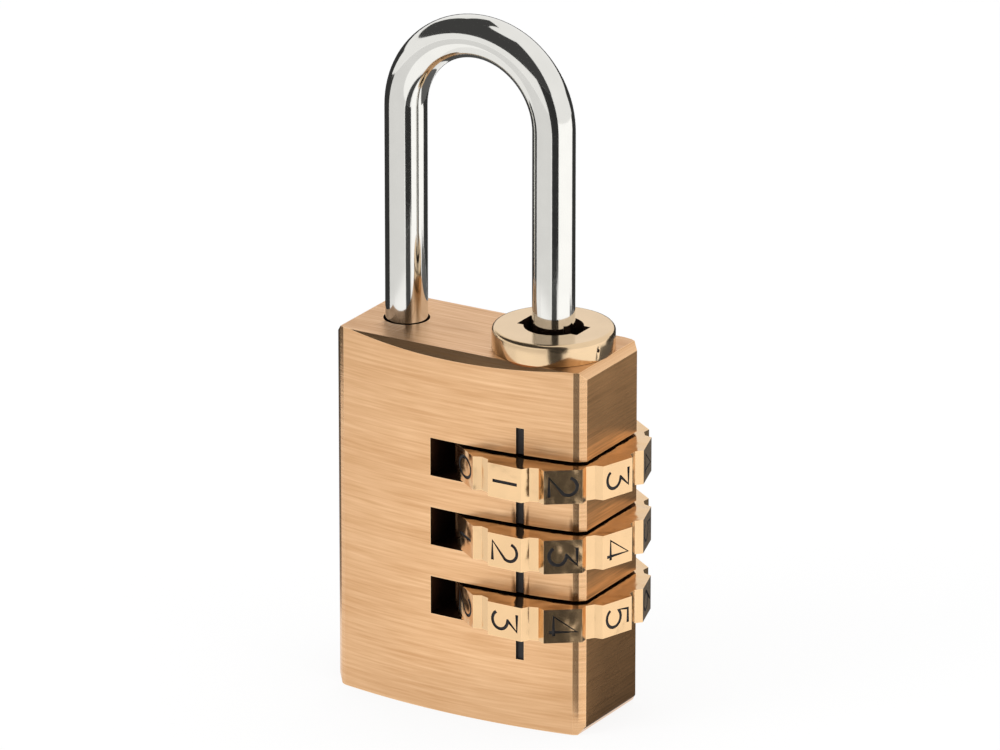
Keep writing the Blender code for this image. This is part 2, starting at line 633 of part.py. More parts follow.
def sleeve_mesh(steel):
    """A code sleeve about its dial's middle: splines outside, a keyed web on top, open below."""
    spline = TOOTH_PITCH / 2 - TOOTH_PLAY_ANGLE
    splines = toothed_outline(SPLINE_ROOT, SPLINE_RADIUS, spline, TOOTH_COUNT, TOOTH_PHASE)
    sides = len(splines)
    tube = circle(SLEEVE_RADIUS, sides, start=TOOTH_PHASE - 3 * math.pi / sides)
    ledge = TOOTH_TOP - SPLINE_ENGAGEMENT
    rings = [on_z(tube, -SLEEVE_BELOW), on_z(tube, ledge), on_z(splines, ledge), on_z(splines, SLEEVE_ABOVE)]
    blank = piece("sleeve_blank", solid([rings]), steel)
    recess = circle(RECESS_RADIUS, ROD_SIDES)
    cut(blank, [on_z(recess, -SLEEVE_BELOW - OVERSHOOT), on_z(recess, WEB_UNDERSIDE)])
    wide = FIN_WIDE + 2 * STACK_GAP
    narrow = FIN_NARROW + 2 * STACK_GAP
    keyways = keyed_outline(WIRE_RADIUS + STACK_GAP, FIN_REACH + STACK_GAP, wide, narrow, KEYWAY_STEPS)
    cut(blank, [on_z(keyways, WEB_UNDERSIDE - RUNNING), on_z(keyways, SLEEVE_ABOVE + OVERSHOOT)])
    shade(blank)
    mesh = blank.data
    bpy.data.objects.remove(blank, do_unlink=True)
    return mesh


def make_dials(brass, steel):
    dial = dial_mesh(brass)
    sleeve = sleeve_mesh(steel)
    for label, z in zip(LEVELS, DIAL_Z):
        axis = axis_empty("dial_axis_" + label, (DIAL_X, 0, z))
        place("dial_" + label, dial, axis.location, axis)
        place("code_sleeve_" + label, sleeve, axis.location, axis)


def make_pressure_disc(steel):
    radius = BORE_RADIUS - DISC_SIDE_GAP
    profile = [(radius, DISC_Z), (radius, DISC_Z + DISC_THICKNESS)]
    disc = piece("pressure_disc", solid([turned(profile, BORE_SIDES)]), steel, (DIAL_X, 0, 0))
    shade(disc)
    return disc


def make_change_spring(steel):
    """The spring above the sleeves, which presses them into the dials' teeth."""
    low = DIAL_Z[-1] + SLEEVE_ABOVE + RUNNING
    mean_radius = BORE_RADIUS - DISC_SIDE_GAP - 2 * CHANGE_WIRE + RUNNING
    rings = coil(mean_radius, CHANGE_WIRE, SPIGOT_Z - RUNNING - low, CHANGE_TURNS)
    spring = piece("change_spring", solid([rings]), steel, (DIAL_X, 0, low))
    spring.data.shade_smooth()
    return spring


def lever_outline():
    """The change lever from the front, about its pin: a bar with a boss, and a post with a round nose."""
    half = LEVER_THICKNESS / 2
    arm = DIAL_X - PIVOT_X
    nose = half
    nose_z = BASE_DEPTH - PIVOT_Z - nose
    boss_angle = math.asin(half / LEVER_BOSS_RADIUS)
    points = arc(LEVER_BOSS_RADIUS, math.pi + boss_angle, 2 * math.pi - boss_angle, LEVER_STEPS)
    points += [(arm + nose, -half)]
    points += arc(nose, 0, math.pi, LEVER_STEPS, (arm, nose_z))
    points += [(arm - nose, half)]
    points += arc(LEVER_BOSS_RADIUS, boss_angle, math.pi - boss_angle, LEVER_STEPS)
    points += arc(half, math.pi / 2, 3 * math.pi / 2, LEVER_STEPS, (half - LEVER_REACH, 0))
    return points


def make_lever(steel):
    axis = axis_empty("lever_axis", (PIVOT_X, 0, PIVOT_Z))
    outline = [(x + PIVOT_X, z + PIVOT_Z) for x, z in lever_outline()]
    half = LEVER_WIDTH / 2
    lever = piece("change_lever", solid([[on_y(outline, -half), on_y(outline, half)]]), steel)
    hole = circle(LEVER_PIN_RADIUS + RUNNING, SMALL_SIDES, (PIVOT_X, PIVOT_Z))
    cut(lever, [on_y(hole, -half - OVERSHOOT), on_y(hole, half + OVERSHOOT)])
    shade(lever)
    lever.data.transform(Matrix.Translation(-axis.location))
    lever.location = axis.location
    lever.parent = axis
    lever.matrix_parent_inverse = Matrix.Translation(axis.location).inverted()
    pin_outline = circle(LEVER_PIN_RADIUS, SMALL_SIDES)
    reach = LEVER_PIN_LENGTH / 2
    rings = [on_y(pin_outline, -reach), on_y(pin_outline, reach)]
    pin = piece("lever_pin", solid([rings]), steel, axis.location)
    shade(pin)
    return lever


def main():
    clear_scene()
    brass = finish("brass", (0.80, 0.60, 0.36), 0.35)
    steel = finish("nickel_plated_steel", (0.80, 0.80, 0.78), 0.12)
    plain_steel = finish("plain_steel", (0.55, 0.55, 0.55), 0.4)
    make_body(brass)
    make_collar(brass)
    make_retaining_pin(plain_steel)
    make_cover(brass)
    make_clicks(plain_steel)
    make_shackle(steel)
    make_dials(brass, plain_steel)
    make_pressure_disc(plain_steel)
    make_change_spring(plain_steel)
    make_lever(plain_steel)


main()
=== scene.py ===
"""The looks of a small combination padlock: brushed brass body, nickel-plated shackle, engraved number dials.

Everything is in metres, +Z up, and the front is -Y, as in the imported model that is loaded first.
"""

import json
import math

import bmesh
import bpy
from bpy.props import FloatProperty, FloatVectorProperty, IntProperty, PointerProperty
from mathutils import Matrix, Vector


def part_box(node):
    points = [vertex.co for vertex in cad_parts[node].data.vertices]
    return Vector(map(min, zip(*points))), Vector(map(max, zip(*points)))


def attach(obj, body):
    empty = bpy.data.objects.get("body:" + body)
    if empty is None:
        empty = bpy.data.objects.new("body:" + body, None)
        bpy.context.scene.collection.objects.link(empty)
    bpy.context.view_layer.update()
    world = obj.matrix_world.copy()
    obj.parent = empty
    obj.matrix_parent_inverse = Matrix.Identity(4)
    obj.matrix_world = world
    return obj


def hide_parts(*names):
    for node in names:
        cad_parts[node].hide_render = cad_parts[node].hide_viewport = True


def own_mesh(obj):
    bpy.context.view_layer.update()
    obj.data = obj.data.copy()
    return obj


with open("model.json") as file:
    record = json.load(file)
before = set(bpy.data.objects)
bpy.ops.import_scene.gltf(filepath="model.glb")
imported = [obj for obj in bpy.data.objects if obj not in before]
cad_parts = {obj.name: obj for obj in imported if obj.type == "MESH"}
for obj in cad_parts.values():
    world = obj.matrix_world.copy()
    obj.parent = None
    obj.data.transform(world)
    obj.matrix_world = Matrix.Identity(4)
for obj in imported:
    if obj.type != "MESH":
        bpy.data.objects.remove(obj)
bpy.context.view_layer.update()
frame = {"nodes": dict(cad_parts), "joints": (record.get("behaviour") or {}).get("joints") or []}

bl_info = {
    "name": "Combination Padlock",
    "version": (1, 0, 0),
    "blender": (4, 5, 0),
    "location": "3D View > Sidebar > Padlock",
    "description": "Models and finishes a small brass combination padlock",
    "category": "Add Mesh",
}

MM = 0.001

LEVELS = ("top", "middle", "bottom")
SHOWN_DIGITS = {"top": 1, "middle": 2, "bottom": 3}
PADS = 10
PAD_TURN = 360 / PADS
HALF_PAD = math.radians(PAD_TURN / 2)

# How far a cutting tool reaches past its piece, how close two equal places are, the merging distances, and
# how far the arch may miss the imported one
PAST = 1 * MM
SAME = 1e-6
SLICE_MERGE = 1e-7
MERGE = 0.001 * MM
ARCH_TOLERANCE = 0.01 * MM

# Sides of round tools
BORE_SIDES = 96
HOLE_SIDES = 32

# Places of materials among those of a piece
PAINTED = 1
# The third place is near-black brass, painted shade inside the slots, bores and pockets
HOLLOW_SHADE = 2

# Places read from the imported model
JOINT_PLACES = {joint["name"]: Vector(joint["pos_m"]) for joint in frame["joints"] if "pos_m" in joint}
DIAL_AXES = {level: JOINT_PLACES[f"dial_{level}_turn"] for level in LEVELS}
DIAL_X = DIAL_AXES["top"].x
BODY_LOW, BODY_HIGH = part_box("lock_body")
COLLAR_LOW, COLLAR_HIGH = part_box("top_collar")
SHACKLE_LOW, SHACKLE_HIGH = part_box("shackle")
COVER_LOW, COVER_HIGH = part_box("base_cover")
LEVER_LOW, LEVER_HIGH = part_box("change_lever")
PIN_LOW, PIN_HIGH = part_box("retaining_pin")


def length(name, description, value):
    """A size in millimetres, kept in metres."""
    return FloatProperty(
        name=name, description=description, default=value * MM, min=0.0, precision=5, subtype="DISTANCE"
    )


def turn(name, description, degrees):
    return FloatProperty(name=name, description=description, default=math.radians(degrees), subtype="ANGLE")


def colour(name, description, value):
    return FloatVectorProperty(
        name=name, description=description, default=value, min=0.0, max=1.0, size=3, subtype="COLOR"
    )


class PadlockBodySizes(bpy.types.PropertyGroup):
    """Sizes of the brass body that its overall box doesn't give."""

    side_flat: length("Side Flat", "Flat part of each side, front to back", 6.89)
    crown: length("Crown", "Bow of the front and the back at mid width", 0.86)
    face_bevel_x: length("Face Bevel X", "Corner facet next to the front, along the width", 0.37)
    face_bevel_y: length("Face Bevel Y", "Corner facet next to the front, front to back", 0.19)
    side_bevel_x: length("Side Bevel X", "Corner facet next to the side, along the width", 0.40)
    side_bevel_y: length("Side Bevel Y", "Corner facet next to the side, front to back", 0.38)
    top_side_inset: length("Top Side Inset", "Chamfer between a side and the top, along the width", 0.45)
    top_side_drop: length("Top Side Drop", "Chamfer between a side and the top, downwards", 0.53)
    top_face_inset: length("Top Face Inset", "Chamfer between the front and the top, front to back", 0.75)
    top_face_drop: length("Top Face Drop", "Chamfer between the front and the top, downwards", 0.53)
    foot_inset: length("Foot Inset", "Chamfer between a side and the underside, along the width", 0.45)
    foot_drop: length("Foot Drop", "Chamfer between a side and the underside, upwards", 0.60)
    slot_end: length("Slot End", "From the dials' edge to the end of their slots", 0.24)
    slot_gap: length("Slot Gap", "Above and below a dial in its slot", 0.15)
    bore_radius: length("Bore Radius", "Upright bore for the code sleeves", 3.50)
    bore_floor: length("Bore Floor", "Height of the bore's floor", 4.95)
    leg_gap: length("Leg Gap", "Round the long leg in its hole", 0.14)
    leg_hole_floor: length("Leg Hole Floor", "Below the long leg's foot", 1.03)
    index_width: length("Index Width", "Width of the index line", 0.60)
    index_depth: length("Index Depth", "Depth of the index line", 0.15)
    index_above: length("Index Above", "Index line above the top slot", 1.93)
    index_below: length("Index Below", "Index line below the bottom slot", 2.16)
    ball_hole_radius: length("Ball Hole Radius", "Holes of the click balls", 0.65)
    pin_hole_radius: length("Pin Hole Radius", "Hole of the retaining pin", 0.52)
    pocket_half: length("Pocket Half Width", "Pocket of the change lever, half its width", 1.15)
    pocket_end: length("Pocket End", "Pocket past the long end of the lever", 0.90)
    cover_corner: length("Cover Corner", "Corner radius of the base cover", 1.00)
    cover_depth: length("Cover Depth", "Thickness of the base cover", 0.88)
    edge_round: length("Edge Round", "Softening of every sharp edge", 0.05)


class PadlockShackleSizes(bpy.types.PropertyGroup):
    """Sizes of the round steel shackle."""

    wire_radius: length("Wire Radius", "Half the thickness of the shackle", 1.50)
    tip_chamfer: length("Tip Chamfer", "Chamfer at the ends of both legs", 0.25)
    short_tip: length("Short Tip", "Height of the short leg's end", 7.99)
    foot_height: length("Foot Height", "Full-width foot below the neck", 1.00)
    neck_height: length("Neck Height", "Height of the round neck", 1.20)
    neck_radius: length("Neck Radius", "Radius of the neck, and distance of the flats from the axis", 0.75)
    flat_top: length("Flat Top", "Height of the flats' upper end", 25.60)
    push_depth: length("Push Depth", "How far the open shackle is pushed down to change the code", 0.925)
    fin_reach: length("Fin Reach", "From the short leg's axis to a fin's end", 2.25)
    fin_height: length("Fin Height", "Height of each fin", 1.00)
    fin_top: length("Fin Top", "Top of a fin above the middle of its dial", 0.85)
    fin_wide: length("Wide Fin", "Width of the fins on the right", 1.70)
    fin_narrow: length("Narrow Fin", "Width of the fins on the left", 1.00)
    wire_sides: IntProperty(name="Wire Sides", description="Sides of the round section", default=64, min=8)
    arch_steps: IntProperty(name="Arch Steps", description="Sections along the arch", default=48, min=8)


class PadlockCollarSizes(bpy.types.PropertyGroup):
    """Sizes of the collar round the short leg."""

    flange_height: length("Flange Height", "Thickness of the visible ring", 1.53)
    rounding: length("Rounding", "Rounding of the flange's top edge", 0.32)
    spigot_radius: length("Spigot Radius", "Radius of the part inside the body", 3.46)
    hole_radius: length("Hole Radius", "Round hole for the short leg", 2.10)
    slot_reach: length("Slot Reach", "From the axis to the end of a fin slot", 2.39)
    slot_width: length("Slot Width", "Width of the fin slots", 1.90)
    pit_radius: length("Pit Radius", "Small pit in the rim", 0.13)
    pit_height: length("Pit Height", "Height of the pit", 27.51)
    pit_angle: turn("Pit Angle", "Where the pit is, from the front towards the right", 75.9)


class PadlockDialSizes(bpy.types.PropertyGroup):
    """Sizes of the three number dials."""

    radius: length("Radius", "From the axis to a corner of a pad", 6.80)
    thickness: length("Thickness", "Thickness of a dial", 2.48)
    pad_width: length("Pad Width", "Width of a number pad", 2.69)
    groove_floor: length("Groove Floor", "Width of the floor between two pads", 0.66)
    groove_depth: length("Groove Depth", "Depth of the grip grooves", 0.45)
    tooth_tip: length("Tooth Tip", "Radius at the tips of the inner teeth", 3.05)
    tooth_root: length("Tooth Root", "Radius at the roots of the inner teeth", 3.50)
    tooth_play: length("Tooth Play", "Play between a tooth and its sleeve", 0.06)
    tooth_top: length("Tooth Top", "From the dial's middle down to the top of the teeth", 0.05)
    relief: length("Relief", "How far the upper bore is wider than the roots", 0.05)
    edge_round: length("Edge Round", "Softening of the edges", 0.06)
    digit_height: length("Digit Height", "Height of a number", 1.95)
    digit_width: length("Digit Width", "Width of a number", 1.45)
    digit_stroke: length("Digit Stroke", "Width of an engraved line", 0.26)
    digit_depth: length("Digit Depth", "Depth of an engraved line", 0.10)


class PadlockFinish(bpy.types.PropertyGroup):
    """Colours of the metals, of the paint in the engraving, and of the painted shade on the sides and in the
    hollows.
    """

    body_brass: colour("Body Brass", "Brushed brass of the body", (0.90, 0.58, 0.33))
    body_shade: colour("Body Shade", "Deeper lines in the brushed brass", (0.62, 0.33, 0.145))
    # Painted shade: this colour draws the narrow sides darker and deeper in tone than the front
    side_brass_painted_shade: colour("Side Brass", "Deeper brass of the narrow sides", (0.94, 0.51, 0.22))
    dial_brass: colour("Dial Brass", "Polished brass of the dials", (0.86, 0.58, 0.32))
    collar_brass: colour("Collar Brass", "Turned brass of the collar", (0.82, 0.60, 0.37))
    # Painted shade: near-black for the faces inside the slots, bores, pockets and pits
    slot_brass: colour("Slot Brass", "Unpolished brass inside the slots and holes", (0.10, 0.055, 0.040))
    nickel: colour("Nickel", "Plated steel of the shackle", (0.80, 0.79, 0.75))
    plain_steel: colour("Plain Steel", "Bare steel of the inner parts", (0.42, 0.42, 0.42))
    ink: colour("Ink", "Black paint in the numbers and the index line", (0.012, 0.009, 0.009))


class PadlockStage(bpy.types.PropertyGroup):
    """The camera and the light."""

    azimuth: turn("Azimuth", "Camera, from the front towards the right", 30.607)
    elevation: turn("Elevation", "Camera, above the horizon", 20.396)
    distance: length("Distance", "Camera to the target", 661.9)
    target_height: length("Target Height", "Height of the target on the body's middle", 20.0)
    aim_right: length("Aim Right", "How far right of the target the camera aims", 0.89)
    aim_up: length("Aim Up", "How far above the target the camera aims", 3.43)
    lens: FloatProperty(
        name="Lens", description="Focal length in millimetres", default=342.65, min=1.0,
        subtype="DISTANCE_CAMERA",
    )
    key_power: FloatProperty(name="Key Power", description="Soft lamp on the left", default=1.0, min=0.0)
    fill_power: FloatProperty(name="Fill Power", description="Soft lamp on the right", default=0.4, min=0.0)


# Selecting and shaping, as by hand

def use(item):
    """Makes one object the only selected one, and the active one."""
    bpy.ops.object.select_all(action="DESELECT")
    item.select_set(True)
    bpy.context.view_layer.objects.active = item


def add_object(name, data):
    """A new object in the scene that holds the data."""
    item = bpy.data.objects.new(name, data)
    bpy.context.scene.collection.objects.link(item)
    return item


def apply_transforms():
    bpy.ops.object.transform_apply(location=True, rotation=True, scale=True)


def add_shape(primitive, **settings):
    """A primitive made by one of Blender's operators, placed by its mesh."""
    bpy.ops.object.select_all(action="DESELECT")
    primitive(**settings)
    apply_transforms()
    return bpy.context.object


def add_block(low, high):
    """A box between two corners."""
    low = Vector(low)
    high = Vector(high)
    return add_shape(bpy.ops.mesh.primitive_cube_add, size=1.0, location=(low + high) / 2, scale=high - low)


def add_rod(radius, start, end, sides=64):
    """A round rod from one point to another."""
    start = Vector(start)
    along = Vector(end) - start
    tilt = Vector((0, 0, 1)).rotation_difference(along).to_euler()
    return add_shape(
        bpy.ops.mesh.primitive_cylinder_add, vertices=sides, radius=radius, depth=along.length,
        location=start + along / 2, rotation=tilt,
    )


def begin_edit(item, mode="FACE"):
    use(item)
    bpy.ops.object.mode_set(mode="EDIT")
    bpy.ops.mesh.select_mode(type=mode)


def end_edit():
    bpy.ops.object.mode_set(mode="OBJECT")


def end_edit_outwards():
    """Turns all faces outwards and leaves edit mode."""
    bpy.ops.mesh.select_all(action="SELECT")
    bpy.ops.mesh.normals_make_consistent(inside=False)
    end_edit()


def pick(item, kind, wanted):
    """Selects the faces, edges or verts that the test wants, and nothing else."""
    bpy.ops.mesh.select_all(action="DESELECT")
    bm = bmesh.from_edit_mesh(item.data)
    for element in getattr(bm, kind):
        if wanted(element):
            element.select_set(True)
    bm.select_flush_mode()
    bmesh.update_edit_mesh(item.data)


def both_at(edge, axis, place):
    """Whether both ends of an edge lie at that place on an axis."""
    return all(abs(vert.co[axis] - place) < SAME for vert in edge.verts)


def extrude_up(height):
    bpy.ops.mesh.extrude_region_move(TRANSFORM_OT_translate={"value": (0, 0, height)})


def slice_off(point, normal):
    """Cuts off all that lies outside a plane and closes the cut."""
    bpy.ops.mesh.select_all(action="SELECT")
    bpy.ops.mesh.bisect(
        plane_co=point, plane_no=Vector(normal).normalized(), threshold=SLICE_MERGE, use_fill=True,
        clear_outer=True,
    )


def round_upright_edges(item, radius):
    begin_edit(item, "EDGE")
    pick(item, "edges", lambda edge: abs(edge.verts[0].co.z - edge.verts[1].co.z) > SAME)
    bpy.ops.mesh.bevel(offset=radius, segments=8, affect="EDGES")
    end_edit()


def modify(item, name, kind, **settings):
    """Adds a modifier with those settings and applies it."""
    use(item)
    modifier = item.modifiers.new(name, kind)
    for setting, value in settings.items():
        setattr(modifier, setting, value)
    bpy.ops.object.modifier_apply(modifier=modifier.name)


def paint(item, materials, index=0):
    """Gives an object the materials, with every face in the one of that index."""
    item.data.materials.clear()
    for material in materials:
        item.data.materials.append(material)
    for face in item.data.polygons:
        face.material_index = index


def shape_with(item, tool, operation="DIFFERENCE", index=0, overlaps=False):
    """Cuts a tool out of an item, or joins it, and gives the new faces the item's material of that index."""
    paint(tool, list(item.data.materials), index)
    modify(item, "Shape", "BOOLEAN", operation=operation, solver="EXACT", use_self=overlaps, object=tool)
    bpy.data.objects.remove(tool, do_unlink=True)


def drill(item, radius, x, low, high, index=0, sides=BORE_SIDES):
    """Cuts an upright round hole at that place across the piece."""
    shape_with(item, add_rod(radius, (x, 0, low), (x, 0, high), sides), index=index)


def soften(item, width, angle=math.radians(12)):
    """A small round on the sharp edges."""
    modify(
        item, "Edge Round", "BEVEL", width=width, segments=2, limit_method="ANGLE", angle_limit=angle,
        use_clamp_overlap=True,
    )


def shade(item, sharp=math.radians(40)):
    """Smooth shading over the rounds, with flat faces that still shade flat."""
    use(item)
    bpy.ops.object.shade_smooth_by_angle(angle=sharp)
    modify(item, "Shading", "WEIGHTED_NORMAL", keep_sharp=True)


def hand_over(item, name, body, slot, *nodes):
    """Names a finished piece, hangs it on what it rides on and hides the nodes it stands for; its finish is
    not used.
    """
    item.name = name
    item.data.name = name
    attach(item, body)
    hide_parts(*nodes)


# Materials

def add_node(tree, kind, inputs=(), **settings):
    """A shader node with those settings, each of whose inputs gets a socket's link or a plain value."""
    node = tree.nodes.new("ShaderNode" + kind)
    for setting, value in settings.items():
        setattr(node, setting, value)
    for key, value in dict(inputs).items():
        if isinstance(value, bpy.types.NodeSocket):
            tree.links.new(value, node.inputs[key])
        elif value is not None:
            node.inputs[key].default_value = value
    return node


def new_group(name, inputs, output_names):
    """An empty shader node group, the sockets that come in and the node that its results go to."""
    group = bpy.data.node_groups.new(name, "ShaderNodeTree")
    for label, kind in inputs.items():
        group.interface.new_socket(name=label, in_out="INPUT", socket_type="NodeSocket" + kind)
    for label in output_names:
        group.interface.new_socket(name=label, in_out="OUTPUT", socket_type="NodeSocketFloat")
    return group, group.nodes.new("NodeGroupInput").outputs, group.nodes.new("NodeGroupOutput").inputs


def math_node(tree, operation, first, second=None):
    return add_node(tree, "Math", {0: first, 1: second}, operation=operation).outputs[0]


def mix_values(tree, mask, first, second):
    return add_node(tree, "Mix", {0: mask, 2: first, 3: second}, data_type="FLOAT").outputs[0]


def mix_colours(tree, mask, first, second):
    """A blend of two colours, each a socket or three numbers."""
    ends = [end if isinstance(end, bpy.types.NodeSocket) else (*end, 1.0) for end in (first, second)]
    return add_node(tree, "Mix", {0: mask, 6: ends[0], 7: ends[1]}, data_type="RGBA").outputs[2]


def noise(tree, vector, detail=3.0, roughness=0.6):
    inputs = {"Scale": 1.0, "Detail": detail, "Roughness": roughness, "Vector": vector}
    return add_node(tree, "TexNoise", inputs).outputs["Fac"]


def combine(tree, x, y, z):
    return add_node(tree, "CombineXYZ", {0: x, 1: y, 2: z}).outputs[0]


def separate(tree, vector):
    return add_node(tree, "SeparateXYZ", {0: vector}).outputs


# How far a normal leans towards an axis on the top, the sides and the corner facets
TOP_LEAN = 0.7
SIDE_LEAN = 0.9
FACET_LEAN = 0.3

# The broad streaks against the fine ones: scale across and along, place in the noise and share of the whole
BROAD_ACROSS = 0.14
BROAD_ALONG = 0.3
BROAD_LAYER = 7.0
BROAD_SHARE = 0.3
GRAIN_CONTRAST = 2.6


def grain_group():
    """Level brush lines, along X on the front, back and top and along Y on the sides.

    It also puts out a mask of the sides, where the body's brass paints shade, and one of the corner facets.
    """
    inputs = {"Position": "Vector", "Facing": "Vector", "Along": "Float", "Across": "Float"}
    group, given, results = new_group("Brushed Grain", inputs, ("Grain", "Side", "Facet"))
    place = separate(group, given["Position"])
    facing = separate(group, given["Facing"])
    is_top = math_node(group, "GREATER_THAN", math_node(group, "ABSOLUTE", facing["Z"]), TOP_LEAN)
    sideways = math_node(group, "ABSOLUTE", facing["X"])
    is_side = math_node(group, "GREATER_THAN", sideways, SIDE_LEAN)
    turned = math_node(group, "GREATER_THAN", sideways, FACET_LEAN)
    group.links.new(math_node(group, "SUBTRACT", turned, is_side), results["Facet"])
    group.links.new(is_side, results["Side"])
    along = math_node(group, "MULTIPLY", mix_values(group, is_side, place["X"], place["Y"]), given["Along"])
    across = math_node(group, "MULTIPLY", mix_values(group, is_top, place["Z"], place["Y"]), given["Across"])
    fine = noise(group, combine(group, along, across, 0.0))
    broad_across = math_node(group, "MULTIPLY", across, BROAD_ACROSS)
    broad_along = math_node(group, "MULTIPLY", along, BROAD_ALONG)
    broad = noise(group, combine(group, broad_along, broad_across, BROAD_LAYER))
    lines = mix_values(group, BROAD_SHARE, fine, broad)
    spread = math_node(group, "MULTIPLY", math_node(group, "SUBTRACT", lines, 0.5), GRAIN_CONTRAST)
    spread = math_node(group, "ADD", spread, 0.5)
    spread = math_node(group, "MINIMUM", math_node(group, "MAXIMUM", spread, 0.0), 1.0)
    group.links.new(spread, results["Grain"])
    return group


def turned_group():
    """Fine arcs about the upright axis through the origin, and level lines on a rim."""
    inputs = {"Position": "Vector", "Across": "Float"}
    group, given, results = new_group("Turned Rings", inputs, ("Rings",))
    place = separate(group, given["Position"])
    squares = [math_node(group, "POWER", place[axis], 2.0) for axis in ("X", "Y")]
    reach = math_node(group, "SQRT", math_node(group, "ADD", *squares))
    across = math_node(group, "MULTIPLY", math_node(group, "ADD", reach, place["Z"]), given["Across"])
    group.links.new(noise(group, combine(group, across, 0.0, 0.0)), results["Rings"])
    return group


def wear_group():
    """Edges rubbed bright, from how far the surface turns within a small radius."""
    wear_gain = 6.0
    group, given, results = new_group("Edge Wear", {"Radius": "Float"}, ("Wear",))
    rounded = add_node(group, "Bevel", {"Radius": given["Radius"]}, samples=4).outputs["Normal"]
    normals = {0: rounded, 1: add_node(group, "NewGeometry").outputs["Normal"]}
    likeness = add_node(group, "VectorMath", normals, operation="DOT_PRODUCT").outputs["Value"]
    worn = math_node(group, "MULTIPLY", math_node(group, "SUBTRACT", 1.0, likeness), wear_gain)
    group.links.new(math_node(group, "MINIMUM", worn, 1.0), results["Wear"])
    return group


def tarnish_group():
    """Soft cloudy patches of tone."""
    inputs = {"Position": "Vector", "Scale": "Float"}
    group, given, results = new_group("Tarnish", inputs, ("Patches",))
    scaling = {0: given["Position"], "Scale": given["Scale"]}
    scaled = add_node(group, "VectorMath", scaling, operation="SCALE").outputs[0]
    group.links.new(noise(group, scaled, 2.0, 0.5), results["Patches"])
    return group


def effect(tree, name, build, **inputs):
    """The results of a shared node group, which is built the first time it is asked for."""
    group = bpy.data.node_groups.get(name) or build()
    return add_node(tree, "Group", inputs, node_tree=group).outputs


def tarnish(tree, position, scale):
    return effect(tree, "Tarnish", tarnish_group, Position=position, Scale=scale)["Patches"]


def edge_wear(tree, radius):
    return effect(tree, "Edge Wear", wear_group, Radius=radius)["Wear"]


def toned(colour_value, factor):
    """A colour made deeper or brighter."""
    return tuple(min(1.0, channel * factor) for channel in colour_value)


def new_material(name, colour_value, roughness, metallic=1.0):
    """A material with constant settings, its tree and its shader."""
    material = bpy.data.materials.new(name)
    material.use_nodes = True
    tree = material.node_tree
    shader = tree.nodes["Principled BSDF"]
    shader.inputs["Base Color"].default_value = (*colour_value, 1.0)
    shader.inputs["Metallic"].default_value = metallic
    shader.inputs["Roughness"].default_value = roughness
    return material, tree, shader


def object_position(tree):
    return add_node(tree, "TexCoord").outputs["Object"]


def bump(tree, shader, height, strength, distance):
    node = add_node(tree, "Bump", {"Strength": strength, "Distance": distance, "Height": height})
    tree.links.new(node.outputs["Normal"], shader.inputs["Normal"])


def vary_roughness(tree, shader, mask, smooth, rough):
    """Makes the surface go from smooth to rough as the mask goes from 0 to 1."""
    tree.links.new(mix_values(tree, mask, smooth, rough), shader.inputs["Roughness"])


def brushed_brass(finish):
    """The body's brass: level hairlines, cloudy tone, edges rubbed bright, painted shade on the sides."""
    # The darkest end of the sides' streaks, which also darkens the whole of the sides as painted shade
    side_streak_and_shade_depth = 0.22
    rubbed = 1.18
    patch_share = 0.3
    dull_roughness = 0.46
    bright_roughness = 0.28
    facet_roughness = 0.24
    material, tree, shader = new_material("brushed_brass", finish.body_brass, roughness=0.34)
    coordinates = add_node(tree, "TexCoord").outputs
    position = coordinates["Object"]
    brushing = effect(
        tree, "Brushed Grain", grain_group, Along=170.0, Across=5200.0, Position=position,
        Facing=coordinates["Normal"],
    )
    grain = brushing["Grain"]
    tone = mix_values(tree, patch_share, grain, tarnish(tree, position, scale=260.0))
    base = mix_colours(tree, tone, finish.body_shade, finish.body_brass)
    # Painted shade: the sides get their own darker brass, its streaks reaching down to a fifth of it
    sides = mix_colours(tree, tone, toned(finish.side_brass_painted_shade, side_streak_and_shade_depth), finish.side_brass_painted_shade)
    base = mix_colours(tree, brushing["Side"], base, sides)
    base = mix_colours(tree, edge_wear(tree, radius=0.10 * MM), base, toned(finish.body_brass, rubbed))
    tree.links.new(base, shader.inputs["Base Color"])
    brushed = mix_values(tree, grain, dull_roughness, bright_roughness)
    tree.links.new(mix_values(tree, brushing["Facet"], brushed, facet_roughness), shader.inputs["Roughness"])
    shader.inputs["Anisotropic"].default_value = 0.35
    bump(tree, shader, grain, strength=0.18, distance=0.02 * MM)
    return material


def turned_brass(name, colour_value, roughness, ring_strength, waviness=0.0):
    """Brass off the lathe, for the collar and the dials, whose polished pads are a little wavy."""
    material, tree, shader = new_material(name, colour_value, roughness)
    position = object_position(tree)
    rings = effect(tree, "Turned Rings", turned_group, Across=9000.0, Position=position)["Rings"]
    patches = tarnish(tree, position, scale=420.0)
    base = mix_colours(tree, patches, toned(colour_value, factor=0.84), colour_value)
    base = mix_colours(tree, edge_wear(tree, radius=0.08 * MM), base, toned(colour_value, factor=1.15))
    tree.links.new(base, shader.inputs["Base Color"])
    vary_roughness(tree, shader, rings, smooth=roughness * 0.75, rough=roughness * 1.3)
    height = math_node(tree, "ADD", rings, math_node(tree, "MULTIPLY", patches, waviness))
    bump(tree, shader, height, ring_strength, distance=0.01 * MM)
    return material


def plated_steel(finish):
    """Bright nickel plate, with a faint cloudiness."""
    material, tree, shader = new_material("nickel_plate", finish.nickel, roughness=0.07)
    patches = tarnish(tree, object_position(tree), scale=700.0)
    base = mix_colours(tree, patches, toned(finish.nickel, factor=0.92), finish.nickel)
    tree.links.new(base, shader.inputs["Base Color"])
    vary_roughness(tree, shader, patches, smooth=0.05, rough=0.11)
    bump(tree, shader, patches, strength=0.05, distance=0.01 * MM)
    return material


